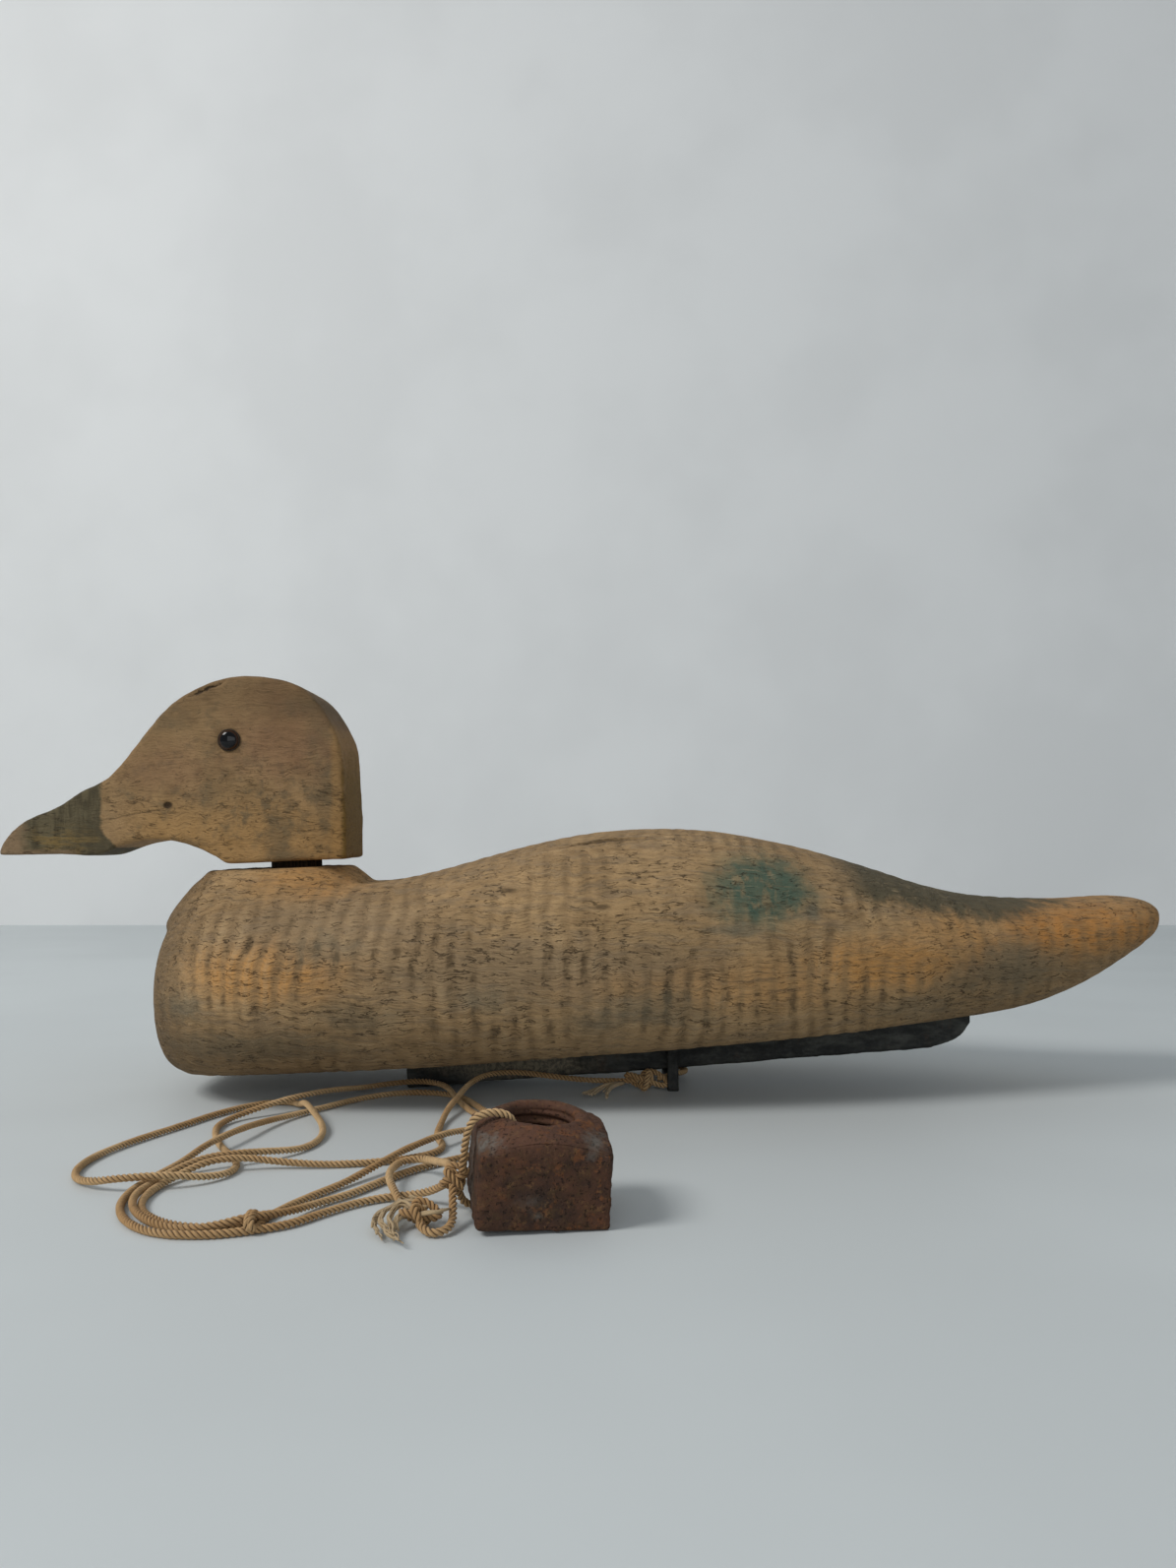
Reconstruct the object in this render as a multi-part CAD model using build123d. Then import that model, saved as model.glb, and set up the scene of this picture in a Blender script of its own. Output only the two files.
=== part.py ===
from build123d import *
import os
from math import cos, pi, radians, tan

# A floating duck decoy, standing on a flat floor on its iron keel, with its anchor line
# and its anchor nut laid out beside it. Millimetres. The floor is z = 0, the decoy faces
# -X, +Y is the decoy's right side, and X = 0 is midway between bill tip and tail tip.

# ---------------------------------------------------------------- driving dimensions

# The decoy stands tail up by this angle, on the keel's front end and the line loop.
REST_TILT = 4.4

# Carved body, one row per section, from breast to tail: x, rise of the underside above
# the flat plane that the keel is nailed to, height of the widest place, height of the
# back, half width of the flat underside, largest half width.
BODY_SECTIONS = [
    (-154.4, 17.5, 36.0, 50.0, 4.0, 15.0),
    (-150.2, 7.6, 37.0, 61.0, 10.0, 31.5),
    (-142.4, 1.5, 38.0, 69.0, 17.0, 46.2),
    (-128.0, 0.0, 40.0, 74.0, 24.0, 59.0),
    (-100.0, 0.0, 43.0, 76.0, 32.0, 67.0),
    (-68.0, 0.0, 47.0, 77.0, 39.0, 70.0),
    (-35.0, 0.0, 50.0, 85.0, 43.0, 71.0),
    (0.0, 0.0, 52.0, 93.3, 45.0, 70.5),
    (35.0, 0.0, 54.0, 96.0, 45.0, 67.5),
    (70.0, 0.0, 55.0, 92.0, 42.0, 61.0),
    (105.0, 0.0, 54.5, 82.5, 35.0, 51.5),
    (140.0, 0.0, 53.5, 72.5, 22.0, 41.5),
    (165.0, 1.6, 54.5, 69.8, 16.0, 34.0),
    (188.0, 8.8, 57.5, 69.8, 12.0, 28.0),
    (204.0, 16.5, 61.0, 70.8, 9.0, 21.0),
    (213.5, 21.7, 62.5, 69.0, 6.0, 13.5),
    (217.5, 25.4, 63.5, 66.5, 3.0, 6.0),
]
SIDE_FULLNESS = 0.60          # roundness of the sides, 0.55 is a quarter of an ellipse

# Neck seat: the raised flat that the head sits over, and the wood that flares below it.
SEAT_CENTRE = (-112.2, 81.3)  # x, z
SEAT_TILT = 2.1               # the seat rises towards the tail
# Depth below the seat, half length and half width of the wood there.
SEAT_FLARE = [(0.0, 26.7, 23.5), (5.0, 32.5, 29.5), (12.0, 38.7, 38.0), (20.0, 43.0, 46.0)]

# Neck dowel, 3/4 inch, with a turning fit in the body and a sliding fit in the head.
DOWEL_DIAMETER = 19.05
DOWEL_X = -106.8
DOWEL_IN_BODY = 32.0
DOWEL_IN_HEAD = 30.0
HEAD_GAP = 2.6                # gap between the seat and the head
RUNNING_CLEARANCE = 0.06

# Head and bill, seen from the side: points x, z over the crown from the bill's tip.
BILL_TIP = (-218.4, 87.0)
HEAD_TOP = [
    (-211.6, 94.3), (-204.8, 99.2), (-191.7, 104.6), (-183.1, 110.1), (-176.4, 113.0),
    (-166.4, 122.1), (-156.8, 133.4), (-149.9, 140.3), (-141.3, 145.8), (-132.2, 149.7),
    (-122.2, 151.5), (-111.9, 150.9), (-101.8, 148.0), (-96.7, 144.2), (-92.2, 138.0),
    (-88.2, 130.0), (-85.7, 112.0),
]
HEAD_BACK_FOOT_X = -84.8
HEAD_NAPE_HEIGHT = 101.0
HEAD_THROAT = [
    (-134.7, 87.6), (-142.4, 90.3), (-150.0, 91.8), (-158.8, 91.7), (-166.6, 90.2),
    (-172.6, 87.9),
]
BILL_UNDERSIDE = [(-178.2, 86.1), (-186.0, 86.2), (-202.0, 86.3)]
HEAD_UNDERSIDE_FRONT_X = -127.9
# Head and bill, seen from above: x and half width from the bill's tip to the nape.
HEAD_PLAN = [
    (-217.8, 3.8), (-215.0, 7.4), (-208.0, 10.8), (-194.0, 12.8), (-177.0, 13.8),
    (-159.0, 17.4), (-138.0, 20.9), (-115.0, 21.3), (-93.0, 19.8),
]
HEAD_NAPE_HALF_WIDTH = 17.5   # the nape ends in a flat face

# Glass eyes, on wires pushed into the head.
EYE_CENTRE = (-126.5, 128.0)  # x, z
HEAD_SIDE_AT_EYE = 21.3
EYE_DIAMETER = 8.0
EYE_PROUD = 1.8               # how far the dome stands out of the wood
EYE_SINK = 1.2                # how far its rim is let in
PUPIL_DIAMETER = 5.4
PUPIL_THICKNESS = 0.5
EYE_WIRE_DIAMETER = 1.2
EYE_WIRE_LENGTH = 12.0

# Iron keel under the flat underside, and the nails that hold it.
KEEL_FRONT_X = -64.0
KEEL_LENGTH = 209.5
KEEL_DEPTH = 12.8
KEEL_WIDTH = 26.0
KEEL_RUNNER_LENGTH = 22.0     # the rear end turns up over this length
KEEL_TIP_DEPTH = 4.5
NAIL_PLACES = (16.0, 66.0, 134.0, 172.0)   # along the keel from its front end
NAIL_SHANK_DIAMETER = 3.2
NAIL_HEAD_DIAMETER = 7.0
NAIL_HEAD_THICKNESS = 0.9
NAIL_IN_WOOD = 18.0

# Iron band round the keel that the anchor line is tied to.
LOOP_X = 34.7
LOOP_BAND_WIDTH = 4.1
LOOP_BAND_THICKNESS = 1.8
LOOP_HALF_WIDTH_TOP = 14.8
LOOP_HALF_WIDTH_BOTTOM = 18.0

# Anchor nut: square, for a 3/4 inch thread, leaning on the cord that passes under it.
NUT_SIDE = 31.75
NUT_HEIGHT = 23.4
NUT_BORE_RADIUS = 8.25
NUT_MOUTH_RADIUS = 9.6
NUT_TOP_FLAT_RADIUS = 11.0
NUT_TOP_BEVEL = 27.0
NUT_CENTRE = (-9.3, -163.8)
NUT_YAW = 9.0
NUT_LEAN_RIGHT = 3.2          # its left side is raised
NUT_LEAN_FRONT = 4.6          # its rear side is raised

# The line is a limp three-strand cord.
CORD_DIAMETER = 2.1
CORD_RADIUS = CORD_DIAMETER / 2

# Route of the anchor line, from the hitch at the keel to the knot at the nut.
ANCHOR_LINE = [
    # along the keel and down to the floor
    (22.0, -16.5, 3.8), (8.0, -15.6, 3.2), (-8.0, -15.4, 4.8), (-22.0, -15.8, 6.8),
    (-33.0, -19.5, 6.8), (-38.5, -31.0, 5.6), (-40.5, -45.0, 4.4), (-42.8, -59.0, 3.0),
    (-43.5, -74.0, 1.12), (-43.0, -90.0, 1.12), (-38.5, -103.5, 1.12),
    # first pass of the hank, towards the breast
    (-43.0, -113.0, 1.12), (-55.0, -119.5, 1.12), (-70.0, -122.5, 1.12),
    (-83.0, -122.5, 2.0), (-92.0, -124.5, 3.8), (-101.0, -128.0, 3.8),
    (-107.0, -134.5, 1.6), (-109.7, -144.0, 1.12), (-109.6, -155.0, 1.12),
    (-106.2, -165.0, 1.12), (-100.0, -172.7, 1.12), (-92.0, -177.3, 1.12),
    (-82.5, -177.8, 1.12), (-75.0, -174.5, 1.12),
    # back towards the nut, behind it, and out along the keel's front end
    (-72.8, -166.0, 1.12), (-68.0, -154.0, 1.12), (-61.0, -141.0, 1.12),
    (-55.0, -130.0, 2.6), (-50.0, -120.0, 3.8), (-45.6, -109.5, 3.8),
    (-40.0, -98.0, 3.8), (-35.0, -90.0, 3.0), (-28.0, -83.0, 1.6), (-24.5, -75.0, 1.12),
    (-29.0, -66.0, 1.12), (-35.0, -57.0, 1.12), (-38.5, -47.0, 1.12),
    (-42.0, -38.0, 1.4), (-45.6, -30.0, 3.6), (-50.0, -22.0, 3.8), (-58.0, -17.0, 3.8),
    (-68.5, -18.5, 3.0), (-77.0, -26.0, 3.0), (-85.0, -38.0, 4.8), (-94.5, -49.0, 5.0),
    (-104.0, -57.5, 3.4),
    # down to the turn under the hank, and the long loop past the breast
    (-112.0, -65.0, 1.5), (-114.5, -76.0, 1.12), (-111.0, -89.0, 1.12),
    (-106.0, -101.0, 1.12), (-99.5, -112.0, 1.12), (-94.5, -122.0, 1.12),
    (-94.0, -131.0, 1.12), (-99.0, -138.0, 1.9), (-107.0, -143.0, 3.9),
    (-119.0, -146.0, 3.9), (-127.5, -143.5, 2.2), (-134.5, -136.5, 1.12),
    (-138.5, -125.0, 1.12), (-138.0, -110.0, 1.12), (-133.0, -93.0, 1.12),
    (-126.0, -76.5, 1.12), (-120.5, -61.0, 1.12), (-114.0, -49.0, 1.12),
    (-106.5, -41.5, 1.12), (-98.5, -41.0, 1.12),
    # the middle loop, and the second pass of the hank
    (-94.5, -48.0, 1.8), (-90.5, -57.5, 4.7), (-85.5, -68.0, 4.0), (-79.5, -80.0, 2.0),
    (-77.5, -93.0, 1.12), (-80.0, -105.0, 1.12), (-87.5, -113.5, 2.6),
    (-94.5, -119.5, 3.8), (-103.0, -124.0, 3.8), (-110.0, -130.5, 1.6),
    (-111.7, -141.5, 1.3), (-111.6, -154.5, 2.3), (-108.3, -165.8, 2.1),
    (-101.6, -174.4, 1.7), (-93.0, -179.6, 1.12), (-83.5, -180.1, 2.2),
    (-75.5, -177.2, 3.7),
    # the second way back, round behind the nut
    (-69.5, -170.8, 2.4), (-64.0, -158.5, 1.12), (-57.0, -150.0, 1.12),
    (-51.0, -138.0, 1.12), (-43.0, -125.0, 1.12), (-32.0, -114.0, 1.12),
    (-20.0, -104.0, 1.12), (-13.5, -91.0, 1.12), (-15.0, -77.0, 1.12),
    (-23.5, -66.0, 1.12), (-31.0, -55.0, 1.12), (-35.8, -43.5, 1.12),
    (-41.5, -31.5, 1.12), (-51.0, -25.0, 1.12), (-63.5, -24.8, 1.12),
    (-75.5, -34.0, 1.12), (-84.5, -47.0, 1.12), (-93.0, -60.0, 1.12),
    (-99.0, -75.0, 2.4), (-102.5, -91.0, 3.8), (-107.0, -109.0, 3.8),
    (-110.0, -123.0, 1.8), (-113.7, -136.0, 1.12), (-115.2, -148.0, 1.12),
    (-113.2, -161.5, 1.12), (-106.8, -174.0, 1.12), (-97.0, -182.4, 1.12),
    (-85.0, -183.5, 1.12), (-75.5, -180.2, 1.12),
    # from the hank knot to the knot at the nut
    (-67.0, -175.5, 1.12), (-61.6, -167.0, 1.12), (-54.0, -157.5, 1.12),
    (-46.0, -152.5, 1.12), (-38.0, -155.0, 2.6), (-32.5, -160.5, 6.0),
    (-29.3, -166.0, 9.4),
]
# The ring of line round the far leg of the line loop.
LINE_HITCH = [
    (29.5, -15.0, 4.0), (34.0, -9.0, 4.4), (39.8, -2.0, 4.0), (41.5, 8.0, 3.2),
    (39.5, 17.0, 2.6), (34.5, 21.4, 2.2), (28.5, 18.5, 2.0), (25.5, 9.0, 2.2),
    (25.0, -3.0, 2.6), (26.5, -13.0, 3.4),
]
# The ring of line through the anchor nut: up its left side, down its hole, back under it.
NUT_LASHING = [
    (-26.9, -168.5, 11.7), (-26.3, -169.9, 17.1), (-25.5, -171.2, 22.0),
    (-23.8, -172.0, 25.7), (-19.6, -171.5, 27.0), (-15.4, -170.0, 25.9),
    (-13.9, -168.5, 22.0), (-14.4, -166.7, 15.7), (-15.1, -164.4, 9.6),
    (-15.8, -163.0, 5.8), (-16.3, -162.4, 3.1), (-17.8, -161.9, 1.45),
    (-21.6, -161.6, 1.4), (-25.4, -162.0, 1.6), (-28.0, -163.3, 3.6),
    (-28.3, -165.4, 7.4),
]
# The slack loop from the nut knot to the frayed tassel, over two passes of the line.
TAIL_LOOP = [
    (-29.5, -166.0, 10.8), (-31.0, -158.0, 10.6), (-33.5, -149.0, 8.8),
    (-36.4, -139.0, 6.4), (-39.8, -131.0, 4.8), (-43.2, -127.8, 4.2),
    (-46.9, -128.6, 3.9), (-48.8, -133.0, 3.9), (-49.2, -142.0, 3.9), (-46.8, -153.0, 4.3),
    (-43.2, -161.5, 2.6),
]
# The second tail from the nut knot to the frayed stopper knot.
SHORT_TAIL = [
    (-29.2, -168.5, 8.6), (-28.8, -172.0, 4.8), (-28.2, -177.0, 2.0),
    (-30.0, -182.0, 1.3), (-34.0, -182.4, 1.3), (-36.0, -178.5, 2.2),
]

# Knots and frayed ends: centre and half sizes of each knot, ends of each tassel.
HITCH_KNOT = ((25.0, -16.2, 3.9), (7.2, 3.6, 3.7))
HANK_KNOT = ((-75.3, -177.4, 2.6), (3.2, 4.6, 2.5))
NUT_KNOT = ((-28.9, -167.3, 10.0), (3.3, 3.2, 3.6))
TAIL_KNOT = ((-36.3, -175.0, 3.4), (4.2, 4.6, 3.3))
HITCH_TAIL = ((14.0, -18.2, 3.0), (6.5, -37.0, 1.7))
TASSEL = ((-43.0, -161.8, 2.5), (-40.4, -190.0, 1.7))
TASSEL_HALF_WIDTH = 3.6
FRAYED_HALF_HEIGHT = 1.5


# ---------------------------------------------------------------- frames

# Along the flat underside: x runs towards the tail, z is square to the underside.
KEEL_TOP_HEIGHT = KEEL_DEPTH * cos(radians(REST_TILT))
UNDERSIDE = Location((KEEL_FRONT_X, 0, KEEL_TOP_HEIGHT), (0, -REST_TILT, 0))
# Square to the neck seat, on the dowel's axis.
SEAT_RISE = tan(radians(SEAT_TILT))
DOWEL_SEAT_HEIGHT = SEAT_CENTRE[1] + SEAT_RISE * (DOWEL_X - SEAT_CENTRE[0])
NECK = Location((DOWEL_X, 0, DOWEL_SEAT_HEIGHT), (0, -SEAT_TILT, 0))
SEAT = Location((SEAT_CENTRE[0], 0, SEAT_CENTRE[1]), (0, -SEAT_TILT, 0))


def underside_height(x):
    """Height of the flat underside's plane above the floor."""
    return KEEL_TOP_HEIGHT + tan(radians(REST_TILT)) * (x - KEEL_FRONT_X)


# ---------------------------------------------------------------- helpers

def cord(name, points):
    """A round tube of straight runs joined by arcs as large as their runs allow."""
    places = [Vector(*point) for point in points]
    radii = []
    for before, here, after in zip(places, places[1:], places[2:]):
        turn = (here - before).get_angle(after - here)
        shorter = min((here - before).length, (after - here).length)
        radii.append(0.45 * shorter / tan(radians(turn) / 2))
    path = FilletPolyline(*points, radius=radii)
    section = Plane(origin=path @ 0, z_dir=path % 0) * Circle(CORD_RADIUS)
    tube = sweep(section, path=path)
    filled = tube.volume / (pi * CORD_RADIUS ** 2 * path.length)
    tightest = ", ".join(f"{radius:.1f}" for radius in sorted(radii)[:5])
    print(f"{name}: {path.length:.0f} mm long, tightest radii {tightest}, "
          f"volume over section times length {filled:.3f}")
    return tube


def knot(place):
    """A closed rounded solid of a knot's outer size."""
    centre, half_sizes = place
    return Pos(*centre) * scale(Sphere(1), by=half_sizes)


def frayed_end(ends, half_width):
    """A flattened cone of loose strands that widens from the cord to its tips."""
    root, tip = Vector(*ends[0]), Vector(*ends[1])
    direction = tip - root
    level = Vector(0, 0, 1).cross(direction)
    at_root = Plane(origin=root, x_dir=level, z_dir=direction) * Circle(CORD_RADIUS)
    at_tip = Plane(origin=tip, x_dir=level, z_dir=direction)
    at_tip = at_tip * Ellipse(half_width, FRAYED_HALF_HEIGHT)
    return loft([at_root, at_tip])


# ---------------------------------------------------------------- sub-parts

def body_section(x, rise, widest_height, back_height, flat_half, half_width):
    """One cross-section of the carved body: flat below, round sides, crowned back."""
    low = underside_height(x) + rise
    corner = (x, flat_half, low)
    widest = (x, half_width, widest_height)
    crown = (x, 0, back_height)
    out = SIDE_FULLNESS * (half_width - flat_half)
    up = SIDE_FULLNESS * (back_height - widest_height)
    down = SIDE_FULLNESS * (widest_height - low)
    across = SIDE_FULLNESS * half_width
    flank = Bezier(corner, (x, flat_half + out, low), (x, half_width, widest_height - down), widest)
    back = Bezier(widest, (x, half_width, widest_height + up), (x, across, back_height), crown)
    half = [flank, back]
    other = [mirror(edge, about=Plane.XZ) for edge in half]
    base = Line((x, -flat_half, low), corner)
    return Face(Wire([base.edge()] + [e.edge() for e in half] + [e.edge() for e in other]))


def carved_body():
    hull = Solid.make_loft([body_section(*row).outer_wire() for row in BODY_SECTIONS])
    rings = [
        SEAT * Pos(0, 0, -depth) * Ellipse(half_length, half_width)
        for depth, half_length, half_width in SEAT_FLARE
    ]
    seat = loft(rings)
    socket = NECK * Cylinder(
        DOWEL_DIAMETER / 2 + RUNNING_CLEARANCE, DOWEL_IN_BODY,
        align=(Align.CENTER, Align.CENTER, Align.MAX),
    )
    below = UNDERSIDE * Pos(KEEL_LENGTH / 2, 0, 0) * Box(
        400, 200, 60, align=(Align.CENTER, Align.CENTER, Align.MAX)
    )
    return Part(hull.wrapped) + seat - socket - below


def neck_dowel():
    length = DOWEL_IN_BODY + HEAD_GAP + DOWEL_IN_HEAD
    return NECK * Pos(0, 0, -DOWEL_IN_BODY) * Cylinder(
        DOWEL_DIAMETER / 2, length, align=(Align.CENTER, Align.CENTER, Align.MIN)
    )


def head_underside_height(x):
    """Height of the head's flat underside, parallel to the neck seat."""
    gap = HEAD_GAP / cos(radians(SEAT_TILT))
    return SEAT_CENTRE[1] + gap + SEAT_RISE * (x - SEAT_CENTRE[0])


def head_side_outline():
    """The head and bill seen from the side, x to the right and height upwards."""
    nape_foot = (HEAD_BACK_FOOT_X, head_underside_height(HEAD_BACK_FOOT_X))
    front_foot = (HEAD_UNDERSIDE_FRONT_X, head_underside_height(HEAD_UNDERSIDE_FRONT_X))
    crown = Spline(BILL_TIP, *HEAD_TOP, (HEAD_BACK_FOOT_X, HEAD_NAPE_HEIGHT))
    nape = Line((HEAD_BACK_FOOT_X, HEAD_NAPE_HEIGHT), nape_foot)
    base = Line(nape_foot, front_foot)
    throat = Spline(front_foot, *HEAD_THROAT, *BILL_UNDERSIDE, (BILL_TIP[0], BILL_TIP[1] - 1))
    tip = Line((BILL_TIP[0], BILL_TIP[1] - 1), BILL_TIP)
    return make_face([crown, nape, base, throat, tip])


def head_plan_outline():
    """The head and bill seen from above."""
    nose = (BILL_TIP[0], 0)
    nape = (HEAD_BACK_FOOT_X, HEAD_NAPE_HALF_WIDTH)
    side = Spline(nose, *HEAD_PLAN, nape)
    back = Line(nape, (HEAD_BACK_FOOT_X, 0))
    middle = Line((HEAD_BACK_FOOT_X, 0), nose)
    half = make_face([side, back, middle])
    return half + mirror(half, about=Plane.XZ)


def on_both_eyes(make):
    """The same piece at the left and the right eye, its +Z pointing out of the head."""
    x, height = EYE_CENTRE
    left = Location((x, -HEAD_SIDE_AT_EYE, height), (90, 0, 0))
    right = Location((x, HEAD_SIDE_AT_EYE, height), (-90, 0, 0))
    return {"left": left * make(), "right": right * make()}


def eye_glass():
    """A domed glass eye with a flat back, its rim let into the wood."""
    rim = EYE_DIAMETER / 2
    dome_radius = (rim ** 2 + EYE_PROUD ** 2) / (2 * EYE_PROUD)
    dome = Pos(0, 0, EYE_PROUD - dome_radius) * Sphere(dome_radius)
    disc = Pos(0, 0, -EYE_SINK) * Cylinder(
        rim, EYE_SINK + EYE_PROUD, align=(Align.CENTER, Align.CENTER, Align.MIN)
    )
    return disc & dome


def eye_pupil():
    return Pos(0, 0, -EYE_SINK) * Cylinder(
        PUPIL_DIAMETER / 2, PUPIL_THICKNESS, align=(Align.CENTER, Align.CENTER, Align.MAX)
    )


def eye_wire():
    return Pos(0, 0, -EYE_SINK - PUPIL_THICKNESS) * Cylinder(
        EYE_WIRE_DIAMETER / 2, EYE_WIRE_LENGTH, align=(Align.CENTER, Align.CENTER, Align.MAX)
    )


def eye_pocket():
    """The stepped hole that a glass eye, its pupil backing and its wire fill."""
    pocket = Pos(0, 0, -EYE_SINK) * Cylinder(
        EYE_DIAMETER / 2, EYE_SINK + 5, align=(Align.CENTER, Align.CENTER, Align.MIN)
    )
    return pocket + eye_pupil() + eye_wire()


def head():
    from_side = extrude(Plane.XZ * head_side_outline(), 40, both=True)
    from_above = extrude(head_plan_outline(), 200)
    blank = from_side & from_above
    bore = NECK * Cylinder(
        DOWEL_DIAMETER / 2 + RUNNING_CLEARANCE, HEAD_GAP + DOWEL_IN_HEAD,
        align=(Align.CENTER, Align.CENTER, Align.MIN),
    )
    pockets = on_both_eyes(eye_pocket)
    return blank - bore - pockets["left"] - pockets["right"]


def keel_outline():
    """The keel seen from the side, in the underside's frame."""
    flat_end = KEEL_LENGTH - KEEL_RUNNER_LENGTH
    return make_face([
        Line((0, 0), (KEEL_LENGTH, 0)),
        Line((KEEL_LENGTH, 0), (KEEL_LENGTH, -KEEL_TIP_DEPTH)),
        Bezier(
            (KEEL_LENGTH, -KEEL_TIP_DEPTH), (KEEL_LENGTH - 4, -KEEL_DEPTH * 0.8),
            (flat_end + 12, -KEEL_DEPTH), (flat_end, -KEEL_DEPTH),
        ),
        Line((flat_end, -KEEL_DEPTH), (0, -KEEL_DEPTH)),
        Line((0, -KEEL_DEPTH), (0, 0)),
    ])


def keel_nail(place):
    """One nail, its head on the keel's lower face and its point in the wood."""
    shank_length = KEEL_DEPTH + NAIL_IN_WOOD
    top = Location((place, 0, -KEEL_DEPTH))
    shank = Cylinder(
        NAIL_SHANK_DIAMETER / 2, shank_length, align=(Align.CENTER, Align.CENTER, Align.MIN)
    )
    cap = Cylinder(
        NAIL_HEAD_DIAMETER / 2, NAIL_HEAD_THICKNESS, align=(Align.CENTER, Align.CENTER, Align.MAX)
    )
    return UNDERSIDE * top * (shank + cap)


def line_loop():
    """A flat band round the keel; its lower run stands clear below to take the line."""
    top = underside_height(LOOP_X)
    outer = [
        (-LOOP_HALF_WIDTH_TOP, top), (LOOP_HALF_WIDTH_TOP, top),
        (LOOP_HALF_WIDTH_BOTTOM, 0), (-LOOP_HALF_WIDTH_BOTTOM, 0),
    ]
    lean = LOOP_BAND_THICKNESS
    inner = [
        (-LOOP_HALF_WIDTH_TOP + lean, top - lean), (LOOP_HALF_WIDTH_TOP - lean, top - lean),
        (LOOP_HALF_WIDTH_BOTTOM - lean, lean), (-LOOP_HALF_WIDTH_BOTTOM + lean, lean),
    ]
    ring = make_face(Polyline(*outer, close=True)) - make_face(Polyline(*inner, close=True))
    return extrude(Plane.YZ.offset(LOOP_X) * ring, LOOP_BAND_WIDTH / 2, both=True)


def anchor_nut():
    """A square nut, bevelled on top, with a countersunk hole."""
    blank = Pos(0, 0, NUT_HEIGHT / 2) * Box(NUT_SIDE, NUT_SIDE, NUT_HEIGHT)
    cone_foot = NUT_TOP_FLAT_RADIUS + NUT_HEIGHT / tan(radians(NUT_TOP_BEVEL))
    blank = blank & Pos(0, 0, NUT_HEIGHT / 2) * Cone(cone_foot, NUT_TOP_FLAT_RADIUS, NUT_HEIGHT)
    countersink = NUT_MOUTH_RADIUS - NUT_BORE_RADIUS
    hole = make_face(Polyline(
        (0, 0), (NUT_MOUTH_RADIUS, 0), (NUT_BORE_RADIUS, countersink),
        (NUT_BORE_RADIUS, NUT_HEIGHT - countersink), (NUT_MOUTH_RADIUS, NUT_HEIGHT),
        (0, NUT_HEIGHT), close=True,
    ))
    blank = blank - revolve(Plane.XZ * hole, Axis.Z)
    leaning = Rot(NUT_LEAN_FRONT, 0, 0) * Rot(0, NUT_LEAN_RIGHT, 0) * Rot(0, 0, NUT_YAW) * blank
    return Pos(NUT_CENTRE[0], NUT_CENTRE[1], -leaning.bounding_box().min.Z) * leaning


# ---------------------------------------------------------------- the whole decoy

def all_parts():
    eyes = {
        "glass": on_both_eyes(eye_glass),
        "pupil": on_both_eyes(eye_pupil),
        "wire": on_both_eyes(eye_wire),
    }
    nails = Compound(children=[keel_nail(place) for place in NAIL_PLACES])
    band = line_loop()
    keel = UNDERSIDE * extrude(Plane.XZ * keel_outline(), KEEL_WIDTH / 2, both=True)
    parts = {
        "decoy_body": carved_body() - nails.solids(),
        "neck_dowel": neck_dowel(),
        "head": head(),
        "keel": keel - nails.solids() - band,
        "keel_nails": nails,
        "line_loop": band,
        "anchor_line": cord("anchor_line", ANCHOR_LINE),
        "line_hitch": cord("line_hitch", LINE_HITCH),
        "hitch_knot": knot(HITCH_KNOT),
        "hitch_tail": frayed_end(HITCH_TAIL, TASSEL_HALF_WIDTH),
        "hank_knot": knot(HANK_KNOT),
        "nut_lashing": cord("nut_lashing", NUT_LASHING),
        "nut_knot": knot(NUT_KNOT),
        "tail_loop": cord("tail_loop", TAIL_LOOP),
        "tail_tassel": frayed_end(TASSEL, TASSEL_HALF_WIDTH),
        "short_tail": cord("short_tail", SHORT_TAIL),
        "tail_knot": knot(TAIL_KNOT),
        "anchor_nut": anchor_nut(),
    }
    for kind, pair in eyes.items():
        for side, piece in pair.items():
            parts[f"eye_{kind}_{side}"] = piece
    return parts


os.makedirs("parts", exist_ok=True)
for name, solid in all_parts().items():
    export_step(solid, f"parts/{name}.step")
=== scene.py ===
import math

import bpy
import numpy as np
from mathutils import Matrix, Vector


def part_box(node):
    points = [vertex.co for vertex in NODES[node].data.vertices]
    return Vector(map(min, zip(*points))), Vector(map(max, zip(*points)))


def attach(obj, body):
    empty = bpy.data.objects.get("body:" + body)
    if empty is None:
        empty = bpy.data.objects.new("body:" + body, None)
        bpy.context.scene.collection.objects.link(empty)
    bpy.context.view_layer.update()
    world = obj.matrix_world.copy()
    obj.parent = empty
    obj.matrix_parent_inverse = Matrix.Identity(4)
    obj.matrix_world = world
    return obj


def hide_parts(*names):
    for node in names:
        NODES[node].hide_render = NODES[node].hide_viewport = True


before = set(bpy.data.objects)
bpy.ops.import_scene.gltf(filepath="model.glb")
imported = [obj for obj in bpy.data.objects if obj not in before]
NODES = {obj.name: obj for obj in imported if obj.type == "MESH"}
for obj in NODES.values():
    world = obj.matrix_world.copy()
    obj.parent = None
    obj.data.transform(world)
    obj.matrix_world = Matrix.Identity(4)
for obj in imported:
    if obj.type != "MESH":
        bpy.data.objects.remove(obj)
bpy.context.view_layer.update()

# A floating duck decoy on a pale table, with its anchor line and anchor nut in front.
# Sizes are written in millimetres and turned into metres by MM.
MM = 0.001
SCENE = bpy.context.scene


# ---------------------------------------------------------------- camera

camera_data = bpy.data.cameras.new("camera")
camera_data.lens = 28.25
camera_data.sensor_width = 36.0
camera_data.shift_y = 0.0336
camera = bpy.data.objects.new("camera", camera_data)
camera.location = (0.0036, -0.467, 0.093)
camera.rotation_euler = (math.radians(90), 0, 0)
SCENE.collection.objects.link(camera)
SCENE.camera = camera
SCENE.view_settings.view_transform = "Standard"


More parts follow.
